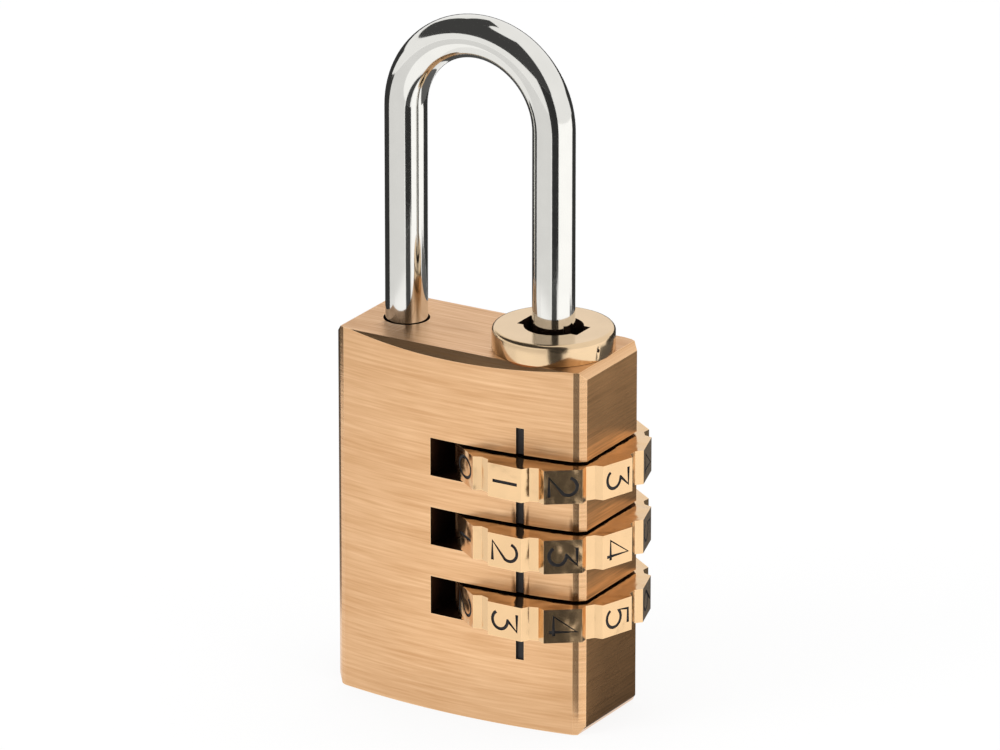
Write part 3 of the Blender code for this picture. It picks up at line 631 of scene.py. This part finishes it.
def plain_metal(name, colour_value, roughness):
    """Metal straight from the tool, with an uneven tone."""
    material, tree, shader = new_material(name, colour_value, roughness)
    patches = tarnish(tree, object_position(tree), scale=900.0)
    base = mix_colours(tree, patches, toned(colour_value, factor=0.7), colour_value)
    tree.links.new(base, shader.inputs["Base Color"])
    vary_roughness(tree, shader, patches, smooth=roughness * 0.8, rough=roughness * 1.25)
    return material


def black_paint(finish):
    """Matt paint in the engraving."""
    material, tree, shader = new_material("engraving_paint", finish.ink, roughness=0.55, metallic=0.0)
    patches = tarnish(tree, object_position(tree), scale=3000.0)
    vary_roughness(tree, shader, patches, smooth=0.45, rough=0.7)
    return material


def shared(name, build, *values):
    """A material that more than one piece uses, made the first time it is asked for."""
    return bpy.data.materials.get(name) or build(*values)


# Near-black brass for the faces in slots, bores, pockets and pits: painted shade in the hollows
def hollow_shade_brass(finish):
    return shared("slot_brass", plain_metal, "slot_brass", finish.slot_brass, 0.5)


# The body

def face_depth(sizes, x):
    """How far the crowned front and back lie from the middle at a place across the body."""
    edge_x = BODY_HIGH.x - sizes.side_bevel_x - sizes.face_bevel_x
    radius = (edge_x**2 + sizes.crown**2) / (2 * sizes.crown)
    return BODY_HIGH.y - radius + math.sqrt(radius**2 - x**2)


def crowned_block(sizes):
    """The body's outside: crowned faces, two facets at each corner, chamfered ends."""
    body = add_block(BODY_LOW, BODY_HIGH)
    half_width = BODY_HIGH.x
    middle_y = BODY_HIGH.y
    corner_x = half_width - sizes.side_bevel_x
    corner_y = sizes.side_flat / 2 + sizes.side_bevel_y
    columns = 56

    begin_edit(body, "EDGE")
    pick(body, "edges", lambda edge: abs(edge.verts[0].co.x - edge.verts[1].co.x) > half_width)
    bpy.ops.mesh.subdivide(number_cuts=columns - 1)
    bpy.ops.mesh.select_mode(type="VERT")
    for column in range(columns + 1):
        x = half_width * (2 * column / columns - 1)
        pick(body, "verts", lambda vert: abs(vert.co.x - x) < SAME)
        narrowing = face_depth(sizes, x) / middle_y
        bpy.ops.transform.resize(value=(1.0, narrowing, 1.0), center_override=(x, 0.0, 0.0))
    for side in (-1, 1):
        for face in (-1, 1):
            corner = (side * corner_x, face * corner_y, 0)
            slice_off(corner, (side * sizes.face_bevel_y, face * sizes.face_bevel_x, 0))
            slice_off(corner, (side * sizes.side_bevel_y, face * sizes.side_bevel_x, 0))
        top_side = (side * (half_width - sizes.top_side_inset), 0, BODY_HIGH.z)
        slice_off(top_side, (side * sizes.top_side_drop, 0, sizes.top_side_inset))
        top_face = (0, side * (middle_y - sizes.top_face_inset), BODY_HIGH.z)
        slice_off(top_face, (0, side * sizes.top_face_drop, sizes.top_face_inset))
        foot_side = (side * (half_width - sizes.foot_inset), 0, 0)
        slice_off(foot_side, (side * sizes.foot_drop, 0, -sizes.foot_inset))
    end_edit_outwards()
    return body


def cut_dial_slots(body, sizes, dials):
    past = BODY_HIGH.y + PAST
    end_x = DIAL_X - dials.radius - sizes.slot_end
    half = dials.thickness / 2 + sizes.slot_gap
    for axis in DIAL_AXES.values():
        slot = add_block((end_x, -past, axis.z - half), (BODY_HIGH.x + PAST, past, axis.z + half))
        shape_with(body, slot, index=HOLLOW_SHADE)


def cut_bores(body, sizes, shackle):
    above = BODY_HIGH.z + PAST
    drill(body, sizes.bore_radius, DIAL_X, sizes.bore_floor, above, HOLLOW_SHADE)
    leg_x = SHACKLE_LOW.x + shackle.wire_radius
    leg_floor = SHACKLE_LOW.z - sizes.leg_hole_floor
    drill(body, shackle.wire_radius + sizes.leg_gap, leg_x, leg_floor, above, HOLLOW_SHADE)
    pin = (PIN_LOW + PIN_HIGH) / 2
    level_holes = [(sizes.pin_hole_radius, BODY_LOW.x - PAST, PIN_HIGH.x, pin.y, pin.z)]
    for level in LEVELS:
        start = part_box("click_spring_" + level)[0].x
        ball_low, ball_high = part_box("click_ball_" + level)
        level_holes.append((sizes.ball_hole_radius, start, ball_high.x, 0, (ball_low.z + ball_high.z) / 2))
    for radius, start, end, y, z in level_holes:
        shape_with(body, add_rod(radius, (start, y, z), (end, y, z), HOLE_SIDES), index=HOLLOW_SHADE)


def cut_base(body, sizes):
    """The pocket of the change lever, the seat of its pin and the seat of the cover."""
    short_end_gap = 0.5 * MM
    pin_gap = 0.05 * MM
    seat_gap = 0.02 * MM
    pocket = add_block(
        (LEVER_LOW.x - sizes.pocket_end, -sizes.pocket_half, -PAST),
        (LEVER_HIGH.x + short_end_gap, sizes.pocket_half, sizes.bore_floor + PAST),
    )
    round_upright_edges(pocket, sizes.pocket_half / 2)
    shape_with(body, pocket, index=HOLLOW_SHADE)
    pin_low, pin_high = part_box("lever_pin")
    pin_seat = add_block((pin_low.x - pin_gap, pin_low.y - pin_gap, -PAST), pin_high + Vector([pin_gap] * 3))
    shape_with(body, pin_seat, index=HOLLOW_SHADE)
    seat = add_block(
        (COVER_LOW.x - seat_gap, COVER_LOW.y - seat_gap, -PAST),
        (COVER_HIGH.x + seat_gap, COVER_HIGH.y + seat_gap, sizes.cover_depth + seat_gap),
    )
    round_upright_edges(seat, sizes.cover_corner)
    shape_with(body, seat)


def cut_index_line(body, sizes, dials):
    half_slot = dials.thickness / 2 + sizes.slot_gap
    low_z = DIAL_AXES["bottom"].z - half_slot - sizes.index_below
    high_z = DIAL_AXES["top"].z + half_slot + sizes.index_above
    half = sizes.index_width / 2
    floor_y = sizes.index_depth - face_depth(sizes, DIAL_X)
    line = add_block((DIAL_X - half, -BODY_HIGH.y - PAST, low_z), (DIAL_X + half, floor_y, high_z))
    shape_with(body, line, index=PAINTED)


class PADLOCK_OT_body(bpy.types.Operator):
    """Models the brass body with its slots, bores and index line"""

    bl_idname = "padlock.body"
    bl_label = "Body"

    def execute(self, context):
        scene = context.scene
        sizes = scene.padlock_body
        finish = scene.padlock_finish
        body = crowned_block(sizes)
        brass = shared("brushed_brass", brushed_brass, finish)
        ink = shared("engraving_paint", black_paint, finish)
        paint(body, [brass, ink, hollow_shade_brass(finish)])
        cut_bores(body, sizes, scene.padlock_shackle)
        cut_base(body, sizes)
        cut_dial_slots(body, sizes, scene.padlock_dials)
        cut_index_line(body, sizes, scene.padlock_dials)
        soften(body, sizes.edge_round)
        shade(body)
        hand_over(body, "brass_body", "casing", "body_brass", "lock_body")
        return {"FINISHED"}


# The collar

def flanged_ring(sizes):
    """The collar's outside: a flange with a rounded top edge, on a spigot."""
    radius = (COLLAR_HIGH.x - COLLAR_LOW.x) / 2
    flange_low = COLLAR_HIGH.z - sizes.flange_height
    collar = add_rod(radius, (DIAL_X, 0, flange_low), (DIAL_X, 0, COLLAR_HIGH.z), sides=160)
    begin_edit(collar, "EDGE")
    pick(collar, "edges", lambda edge: both_at(edge, 2, COLLAR_HIGH.z))
    bpy.ops.mesh.bevel(offset=sizes.rounding, segments=6, affect="EDGES")
    bpy.ops.mesh.select_mode(type="FACE")
    pick(collar, "faces", lambda face: face.normal.z < -0.9)
    bpy.ops.mesh.inset(thickness=radius - sizes.spigot_radius)
    extrude_up(COLLAR_LOW.z - flange_low)
    end_edit_outwards()
    return collar


def rim_pit(sizes):
    """The tool for the small pit in the rim."""
    radius = (COLLAR_HIGH.x - COLLAR_LOW.x) / 2
    out = Vector((math.sin(sizes.pit_angle), -math.cos(sizes.pit_angle), 0)) * radius
    place = Vector((DIAL_X, 0, sizes.pit_height)) + out
    sphere = bpy.ops.mesh.primitive_uv_sphere_add
    return add_shape(sphere, radius=sizes.pit_radius, location=place, segments=24, ring_count=12)


class PADLOCK_OT_collar(bpy.types.Operator):
    """Models the turned brass collar round the short leg"""

    bl_idname = "padlock.collar"
    bl_label = "Collar"

    def execute(self, context):
        sizes = context.scene.padlock_collar
        finish = context.scene.padlock_finish
        collar = flanged_ring(sizes)
        brass = turned_brass("lathe_turned_brass", finish.collar_brass, roughness=0.16, ring_strength=0.12)
        # The second material is near-black, painted shade in the hole, the fin slots and the pit
        hollow_shade = 1
        paint(collar, [brass, hollow_shade_brass(finish)])
        low = COLLAR_LOW.z - PAST
        high = COLLAR_HIGH.z + PAST
        drill(collar, sizes.hole_radius, DIAL_X, low, high, hollow_shade)
        half = sizes.slot_width / 2
        slot = add_block((DIAL_X - sizes.slot_reach, -half, low), (DIAL_X + sizes.slot_reach, half, high))
        shape_with(collar, slot, index=hollow_shade)
        shape_with(collar, rim_pit(sizes), index=hollow_shade)
        soften(collar, width=0.04 * MM, angle=math.radians(35))
        shade(collar)
        hand_over(collar, "turned_collar", "casing", "collar_brass", "top_collar")
        return {"FINISHED"}


# The shackle

def bent_wire(sizes):
    """Round wire drawn from the short leg's tip over the arch to the long leg's foot."""
    radius = sizes.wire_radius
    leg_x = SHACKLE_LOW.x + radius
    arch_radius = (DIAL_X - leg_x) / 2
    arch = Vector(((DIAL_X + leg_x) / 2, 0, SHACKLE_HIGH.z - radius - arch_radius))
    tip_scale = (radius - sizes.tip_chamfer) / radius
    wire = add_shape(
        bpy.ops.mesh.primitive_circle_add, vertices=sizes.wire_sides, radius=radius * tip_scale,
        location=(DIAL_X, 0, sizes.short_tip),
    )
    begin_edit(wire, "EDGE")
    bpy.ops.mesh.select_all(action="SELECT")
    extrude_up(sizes.tip_chamfer)
    widen = (1 / tip_scale, 1 / tip_scale, 1)
    bpy.ops.transform.resize(value=widen, center_override=(DIAL_X, 0, sizes.short_tip + sizes.tip_chamfer))
    extrude_up(arch.z - sizes.short_tip - sizes.tip_chamfer)
    bpy.ops.mesh.spin(steps=sizes.arch_steps, angle=math.pi, center=arch, axis=(0, 1, 0))
    highest = max(vert.co.z for vert in bmesh.from_edit_mesh(wire.data).verts)
    if abs(highest - SHACKLE_HIGH.z) > ARCH_TOLERANCE:
        raise RuntimeError("the arch isn't as high as the packed shackle")
    extrude_up(SHACKLE_LOW.z + sizes.tip_chamfer - arch.z)
    extrude_up(-sizes.tip_chamfer)
    bpy.ops.transform.resize(value=(tip_scale, tip_scale, 1), center_override=(leg_x, 0, SHACKLE_LOW.z))
    bpy.ops.mesh.edge_face_add()
    pick(wire, "edges", lambda edge: both_at(edge, 2, sizes.short_tip))
    bpy.ops.mesh.edge_face_add()
    bpy.ops.mesh.select_all(action="SELECT")
    bpy.ops.mesh.remove_doubles(threshold=MERGE)
    end_edit_outwards()
    return wire


def fit_fins(wire, sizes):
    reach = sizes.fin_reach
    for axis in DIAL_AXES.values():
        high = axis.z + sizes.fin_top
        low = high - sizes.fin_height
        for start, end, width in ((0, reach, sizes.fin_wide), (-reach, 0, sizes.fin_narrow)):
            fin = add_block((DIAL_X + start, -width / 2, low), (DIAL_X + end, width / 2, high))
            shape_with(wire, fin, "UNION")


def cut_neck(wire, sizes):
    """The neck that the pin turns in, and the two flats that slide past it."""
    leg_x = SHACKLE_LOW.x + sizes.wire_radius
    outside = sizes.wire_radius + PAST
    low = SHACKLE_LOW.z + sizes.foot_height
    high = low + sizes.neck_height
    left = leg_x - outside
    behind = add_block((left, sizes.neck_radius, high), (leg_x + outside, outside, sizes.flat_top))
    shape_with(wire, behind)
    beside_top = sizes.flat_top + sizes.push_depth
    shape_with(wire, add_block((left, -outside, high), (leg_x - sizes.neck_radius, outside, beside_top)))
    ring = add_rod(outside, (leg_x, 0, low), (leg_x, 0, high))
    drill(ring, sizes.neck_radius, leg_x, low - PAST, high + PAST, sides=64)
    shape_with(wire, ring)


class PADLOCK_OT_shackle(bpy.types.Operator):
    """Models the plated shackle with its fins, neck and flats"""

    bl_idname = "padlock.shackle"
    bl_label = "Shackle"

    def execute(self, context):
        sizes = context.scene.padlock_shackle
        wire = bent_wire(sizes)
        paint(wire, [shared("nickel_plate", plated_steel, context.scene.padlock_finish)])
        fit_fins(wire, sizes)
        cut_neck(wire, sizes)
        shade(wire, sharp=math.radians(25))
        hand_over(wire, "steel_shackle", "shackle", "shackle_steel", "shackle")
        return {"FINISHED"}


# The dials

def arc(centre, reach, first, last, steps=14):
    """Points on part of an ellipse, from one angle in degrees to another."""
    points = []
    for step in range(steps + 1):
        angle = math.radians(first + (last - first) * step / steps)
        points.append((centre[0] + reach[0] * math.cos(angle), centre[1] + reach[1] * math.sin(angle)))
    return points


# Each number as strokes of an engraver's tool, from 0 to 1 across and up
DIGIT_STROKES = (
    [arc((0.5, 0.5), (0.5, 0.5), 90, 450, 28)],
    [[(0.5, 0.0), (0.5, 1.0)]],
    [arc((0.48, 0.68), (0.44, 0.32), 165, -32) + [(0.02, 0.0), (1.0, 0.0)]],
    [[(0.04, 1.0), (0.92, 1.0), (0.42, 0.62)] + arc((0.46, 0.31), (0.46, 0.31), 95, -150)],
    [[(0.80, 0.0), (0.80, 1.0), (0.0, 0.17), (1.0, 0.17)]],
    [[(0.90, 1.0), (0.18, 1.0), (0.10, 0.54)] + arc((0.46, 0.33), (0.48, 0.33), 132, -150)],
    [[(0.72, 1.0)] + arc((0.5, 0.31), (0.46, 0.31), 150, 510, 24)],
    [[(0.02, 1.0), (0.98, 1.0), (0.34, 0.0)]],
    [arc((0.5, 0.76), (0.36, 0.24), -90, 270, 20), arc((0.5, 0.27), (0.46, 0.27), 90, 450, 24)],
    [[(0.28, 0.0)] + arc((0.5, 0.69), (0.46, 0.31), -30, 330, 24)],
)


def pad_distance(sizes):
    """From the dial's axis to the middle of a flat pad."""
    return math.sqrt(sizes.radius**2 - (sizes.pad_width / 2) ** 2)


def engraving(sizes):
    """The ten numbers as one tool, each lying on its own pad, turned a quarter clockwise."""
    tools = []
    for digit, strokes in enumerate(DIGIT_STROKES):
        angle = math.radians(PAD_TURN * digit - 90)
        outward = Vector((math.cos(angle), math.sin(angle), 0))
        upward = Vector((-math.sin(angle), math.cos(angle), 0))
        centre = outward * (pad_distance(sizes) + sizes.digit_stroke / 2 - sizes.digit_depth)
        for points in strokes:
            curve = bpy.data.curves.new("stroke", "CURVE")
            curve.dimensions = "3D"
            curve.bevel_depth = sizes.digit_stroke / 2
            curve.bevel_resolution = 2
            curve.use_fill_caps = True
            closed = (Vector(points[0]) - Vector(points[-1])).length < SAME
            kept = points[:-1] if closed else points
            spline = curve.splines.new("POLY")
            spline.points.add(len(kept) - 1)
            spline.use_cyclic_u = closed
            for point, (across, up) in zip(spline.points, kept):
                place = centre + upward * (up - 0.5) * sizes.digit_height
                place += Vector((0, 0, -1)) * (across - 0.5) * sizes.digit_width
                point.co = (*place, 1.0)
            use(add_object("stroke", curve))
            bpy.ops.object.convert(target="MESH")
            tools.append(bpy.context.object)
    return join(tools)


def join(items):
    bpy.ops.object.select_all(action="DESELECT")
    for item in items:
        item.select_set(True)
    bpy.context.view_layer.objects.active = items[0]
    bpy.ops.object.join()
    return bpy.context.object


def wedge_ring(inner, outer, inner_half, outer_half, low, high):
    """Tapered blocks round the axis, one between each two pads."""
    wedge = add_block((inner, -inner_half, low), (outer, inner_half, high))
    begin_edit(wedge)
    pick(wedge, "faces", lambda face: face.normal.x > 0.9)
    spread = outer_half / inner_half
    bpy.ops.transform.resize(value=(1, spread, 1), center_override=(outer, 0, (low + high) / 2))
    end_edit()
    copies = []
    for step in range(PADS):
        copy = add_object("wedge", wedge.data.copy())
        copy.data.transform(Matrix.Rotation(math.radians(PAD_TURN * (step - 2)), 4, "Z"))
        copies.append(copy)
    bpy.data.objects.remove(wedge, do_unlink=True)
    return join(copies)


def cut_grooves(dial, sizes, past):
    """The grip grooves between the pads, which widen outwards."""
    floor_radius = sizes.radius - sizes.groove_depth
    floor_half = sizes.groove_floor / 2
    floor_reach = math.sqrt(floor_radius**2 - floor_half**2)
    corner_angle = HALF_PAD - math.asin(sizes.pad_width / 2 / sizes.radius)
    corner_reach = sizes.radius * math.cos(corner_angle)
    corner_half = sizes.radius * math.sin(corner_angle)
    slope = (corner_half - floor_half) / (corner_reach - floor_reach)
    outer = sizes.radius + PAST
    outer_half = floor_half + slope * (outer - floor_reach)
    shape_with(dial, wedge_ring(floor_reach, outer, floor_half, outer_half, -past, past))


def cut_teeth(dial, sizes, past):
    """The bore, the spaces between the inner teeth and the wider bore above them."""
    drill(dial, sizes.tooth_tip, 0, -past, past)
    play = sizes.tooth_play / ((sizes.tooth_tip + sizes.tooth_root) / 2)
    space = math.tan((HALF_PAD + play) / 2)
    root = sizes.tooth_root * math.cos((HALF_PAD + play) / 2)
    inside_bore = 0.9
    start = sizes.tooth_tip * inside_bore
    shape_with(dial, wedge_ring(start, root, start * space, root * space, -past, past))
    drill(dial, sizes.tooth_root + sizes.relief, 0, -sizes.tooth_top, past)


def dial_model(sizes, brass, ink):
    """One dial about its own middle, with number 0 at the front."""
    dial = add_shape(
        bpy.ops.mesh.primitive_cylinder_add, vertices=PADS, radius=pad_distance(sizes) / math.cos(HALF_PAD),
        depth=sizes.thickness, rotation=(0, 0, HALF_PAD),
    )
    paint(dial, [brass, ink])
    past = sizes.thickness / 2 + PAST
    cut_grooves(dial, sizes, past)
    cut_teeth(dial, sizes, past)
    soften(dial, sizes.edge_round)
    shape_with(dial, engraving(sizes), index=PAINTED, overlaps=True)
    shade(dial)
    return dial


class PADLOCK_OT_dials(bpy.types.Operator):
    """Models one engraved dial and sets a copy of it in each slot"""

    bl_idname = "padlock.dials"
    bl_label = "Dials"

    def execute(self, context):
        finish = context.scene.padlock_finish
        brass = turned_brass(
            "polished_brass", finish.dial_brass, roughness=0.16, ring_strength=0.30, waviness=60.0
        )
        ink = shared("engraving_paint", black_paint, finish)
        model = dial_model(context.scene.padlock_dials, brass, ink)
        for level in LEVELS:
            dial = add_object("dial", model.data.copy())
            dial.rotation_euler.z = -math.radians(PAD_TURN * SHOWN_DIGITS[level])
            dial.location = DIAL_AXES[level]
            use(dial)
            apply_transforms()
            hand_over(dial, "number_dial_" + level, "dial_" + level, "dial_brass", "dial_" + level)
        bpy.data.objects.remove(model, do_unlink=True)
        return {"FINISHED"}


# The pieces inside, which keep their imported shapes

def soft_spring(steel):
    """The change spring as a piece of its own, a merged copy of its solid."""
    spring = add_object("change_coil", frame["nodes"]["change_spring"].data.copy())
    begin_edit(spring, "VERT")
    bpy.ops.mesh.select_all(action="SELECT")
    bpy.ops.mesh.remove_doubles(threshold=MERGE)
    end_edit()
    paint(spring, [steel])
    shade(spring)
    hand_over(spring, "change_coil", "casing", "inner_steel", "change_spring")
    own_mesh(spring)


class PADLOCK_OT_inner_parts(bpy.types.Operator):
    """Finishes the inner pieces and the base cover"""

    bl_idname = "padlock.inner_parts"
    bl_label = "Inner Parts"

    def execute(self, context):
        finish = context.scene.padlock_finish
        steel = shared("plain_steel", plain_metal, "plain_steel", finish.plain_steel, 0.32)
        brass = shared("brushed_brass", brushed_brass, finish)
        shown = {"lock_body", "top_collar", "shackle", "dial_top", "dial_middle", "dial_bottom"}
        for name, node in frame["nodes"].items():
            if name not in shown:
                node.data.materials.clear()
                node.data.materials.append(brass if name == "base_cover" else steel)
        soft_spring(steel)
        return {"FINISHED"}


# The stage

FLOOR_SIZE = 6.0
FLOOR_DROP = 0.02 * MM
FLOOR_WHITE = (0.92, 0.92, 0.92)
FLOOR_GLOW = 0.85

# Place and size of the two lamps, in metres
KEY_LAMP = ((-0.30, -0.45, 0.34), 0.35)
FILL_LAMP = ((0.48, -0.05, 0.20), 0.30)

# Cards that only the gloss of the metal sees: name, centre of the sector across and front to back, degrees
# from the front towards the right, distances from the centre, heights, all in millimetres, and brightness
CARDS = (
    ("front_light", (0, 0), (-40, 30), (12, 400), (0.3, 0.3), 1.15),
    ("front_light_far", (0, 0), (-72, 19), (84, 400), (0.4, 0.4), 0.84),
    ("front_dark", (10, -4), (17, 46), (2, 84), (0.4, 0.4), 0.07),
    ("front_dark_far", (10, -4), (18, 55), (84, 400), (0.5, 0.5), 0.035),
    ("front_dark_wall", (0, 0), (20, 56), (260, 260), (0.5, 126), 0.035),
    ("right_light", (10, -4), (53, 126), (1, 84), (0.4, 0.4), 1.25),
    ("right_light_far", (10, -4), (53, 143), (84, 400), (0.4, 0.4), 1.25),
    ("side_dark", (10, -4), (129, 200), (0.5, 84), (0.4, 0.4), 0.13),
    ("overhead_dark", (0, 0), (-122, 58), (260, 60), (126, 274), 0.06),
    ("overhead_dark_back", (0, 0), (-150, -122), (150, 60), (207, 274), 0.06),
    ("back_dark", (10, -4), (145, 200), (84, 400), (0.5, 0.5), 0.04),
    ("back_edge", (0, 0), (150, 268), (400, 400), (0, 84), 0.04),
    ("left_dark", (0, 0), (205, 262), (12, 72), (0.5, 0.5), 0.08),
    ("left_dark_far", (0, 0), (201, 288), (72, 400), (0.5, 0.5), 0.04),
)


def floor_material():
    """A white floor, in view and in the metal, that still keeps the shadow."""
    material, tree, shader = new_material("stage_floor", FLOOR_WHITE, roughness=0.9, metallic=0.0)
    shader.inputs["Specular IOR Level"].default_value = 0.0
    rays = add_node(tree, "LightPath").outputs
    seen = math_node(tree, "MAXIMUM", rays["Is Camera Ray"], rays["Is Glossy Ray"])
    seen = math_node(tree, "MAXIMUM", seen, rays["Is Transmission Ray"])
    glow = add_node(tree, "Emission", {"Strength": 1.0}).outputs[0]
    share = math_node(tree, "MULTIPLY", seen, FLOOR_GLOW)
    mix = add_node(tree, "MixShader", {"Fac": share, 1: shader.outputs[0], 2: glow})
    tree.links.new(mix.outputs[0], tree.nodes["Material Output"].inputs["Surface"])
    return material


def glow_material(name, strength):
    """A card that shows at one plain brightness."""
    material = bpy.data.materials.new(name)
    material.use_nodes = True
    tree = material.node_tree
    tree.nodes.clear()
    glow = add_node(tree, "Emission", {"Strength": strength}).outputs[0]
    add_node(tree, "OutputMaterial", {"Surface": glow})
    return material


def add_card(name, centre, angles, reaches, heights, strength):
    """A card in the shape of a sector, lying or standing, that only the metal's gloss sees."""
    card = add_shape(bpy.ops.mesh.primitive_plane_add, size=1.0)
    begin_edit(card, "EDGE")
    bpy.ops.mesh.select_all(action="SELECT")
    bpy.ops.mesh.subdivide(number_cuts=11)
    end_edit()
    for vert in card.data.vertices:
        angle = math.radians(angles[0] + (angles[1] - angles[0]) * (vert.co.x + 0.5))
        reach = reaches[0] + (reaches[1] - reaches[0]) * (vert.co.y + 0.5)
        height = heights[0] + (heights[1] - heights[0]) * (vert.co.y + 0.5)
        across = centre[0] + reach * math.sin(angle)
        vert.co = Vector((across, centre[1] - reach * math.cos(angle), height)) * MM
    card.name = name
    card.data.materials.append(glow_material(name, strength))
    card.visible_camera = False
    card.visible_diffuse = False
    card.visible_shadow = False


def light_world():
    """Plain white all round."""
    world = bpy.data.worlds.new("studio")
    bpy.context.scene.world = world
    world.use_nodes = True
    background = world.node_tree.nodes["Background"]
    background.inputs["Color"].default_value = (1.0, 1.0, 1.0, 1.0)
    background.inputs["Strength"].default_value = 1.0


def aim_object(item, place, target):
    """Sets a lamp or a camera at its place, looking at the target."""
    item.location = place
    item.rotation_euler = (target - place).to_track_quat("-Z", "Y").to_euler()


def add_lamp(name, place, size, target, power):
    """A soft lamp that lights the floor and the paint, and doesn't show in the metal."""
    data = bpy.data.lights.new(name, "AREA")
    data.shape = "DISK"
    data.size = size
    data.energy = power
    lamp = add_object(name, data)
    aim_object(lamp, Vector(place), target)
    lamp.visible_glossy = False


def add_camera(stage, target):
    level = math.cos(stage.elevation)
    towards = Vector((
        math.sin(stage.azimuth) * level,
        -math.cos(stage.azimuth) * level,
        math.sin(stage.elevation),
    ))
    right = Vector((math.cos(stage.azimuth), math.sin(stage.azimuth), 0))
    upward = towards.cross(right)
    data = bpy.data.cameras.new("camera")
    data.lens = stage.lens
    data.clip_start = 0.01
    camera = add_object("camera", data)
    aim = target + right * stage.aim_right + upward * stage.aim_up
    aim_object(camera, target + towards * stage.distance, aim)
    bpy.context.scene.camera = camera


class PADLOCK_OT_stage(bpy.types.Operator):
    """Sets up the floor, the light and the camera"""

    bl_idname = "padlock.stage"
    bl_label = "Stage"

    def execute(self, context):
        stage = context.scene.padlock_stage
        floor = add_shape(bpy.ops.mesh.primitive_plane_add, size=FLOOR_SIZE, location=(0, 0, -FLOOR_DROP))
        floor.name = "floor"
        floor.data.materials.append(floor_material())
        for card in CARDS:
            add_card(*card)
        target = Vector((0, 0, stage.target_height))
        add_lamp("key", *KEY_LAMP, target, stage.key_power)
        add_lamp("fill", *FILL_LAMP, target, stage.fill_power)
        light_world()
        context.scene.view_settings.view_transform = "Standard"
        add_camera(stage, target)
        return {"FINISHED"}


STEPS = (
    PADLOCK_OT_body, PADLOCK_OT_collar, PADLOCK_OT_shackle, PADLOCK_OT_dials, PADLOCK_OT_inner_parts,
    PADLOCK_OT_stage,
)
SETTINGS = {
    "padlock_body": PadlockBodySizes,
    "padlock_shackle": PadlockShackleSizes,
    "padlock_collar": PadlockCollarSizes,
    "padlock_dials": PadlockDialSizes,
    "padlock_finish": PadlockFinish,
    "padlock_stage": PadlockStage,
}


class PADLOCK_PT_panel(bpy.types.Panel):
    """Lists the steps that make the padlock"""

    bl_label = "Combination Padlock"
    bl_idname = "PADLOCK_PT_panel"
    bl_space_type = "VIEW_3D"
    bl_region_type = "UI"
    bl_category = "Padlock"

    def draw(self, context):
        for step in STEPS:
            self.layout.operator(step.bl_idname)


CLASSES = (*SETTINGS.values(), *STEPS, PADLOCK_PT_panel)


def register():
    for item in CLASSES:
        bpy.utils.register_class(item)
    for name, settings in SETTINGS.items():
        setattr(bpy.types.Scene, name, PointerProperty(type=settings))


def unregister():
    for name in SETTINGS:
        delattr(bpy.types.Scene, name)
    for item in reversed(CLASSES):
        bpy.utils.unregister_class(item)


def main():
    register()
    bpy.ops.padlock.body()
    bpy.ops.padlock.collar()
    bpy.ops.padlock.shackle()
    bpy.ops.padlock.dials()
    bpy.ops.padlock.inner_parts()
    bpy.ops.padlock.stage()


if __name__ == "__main__":
    main()
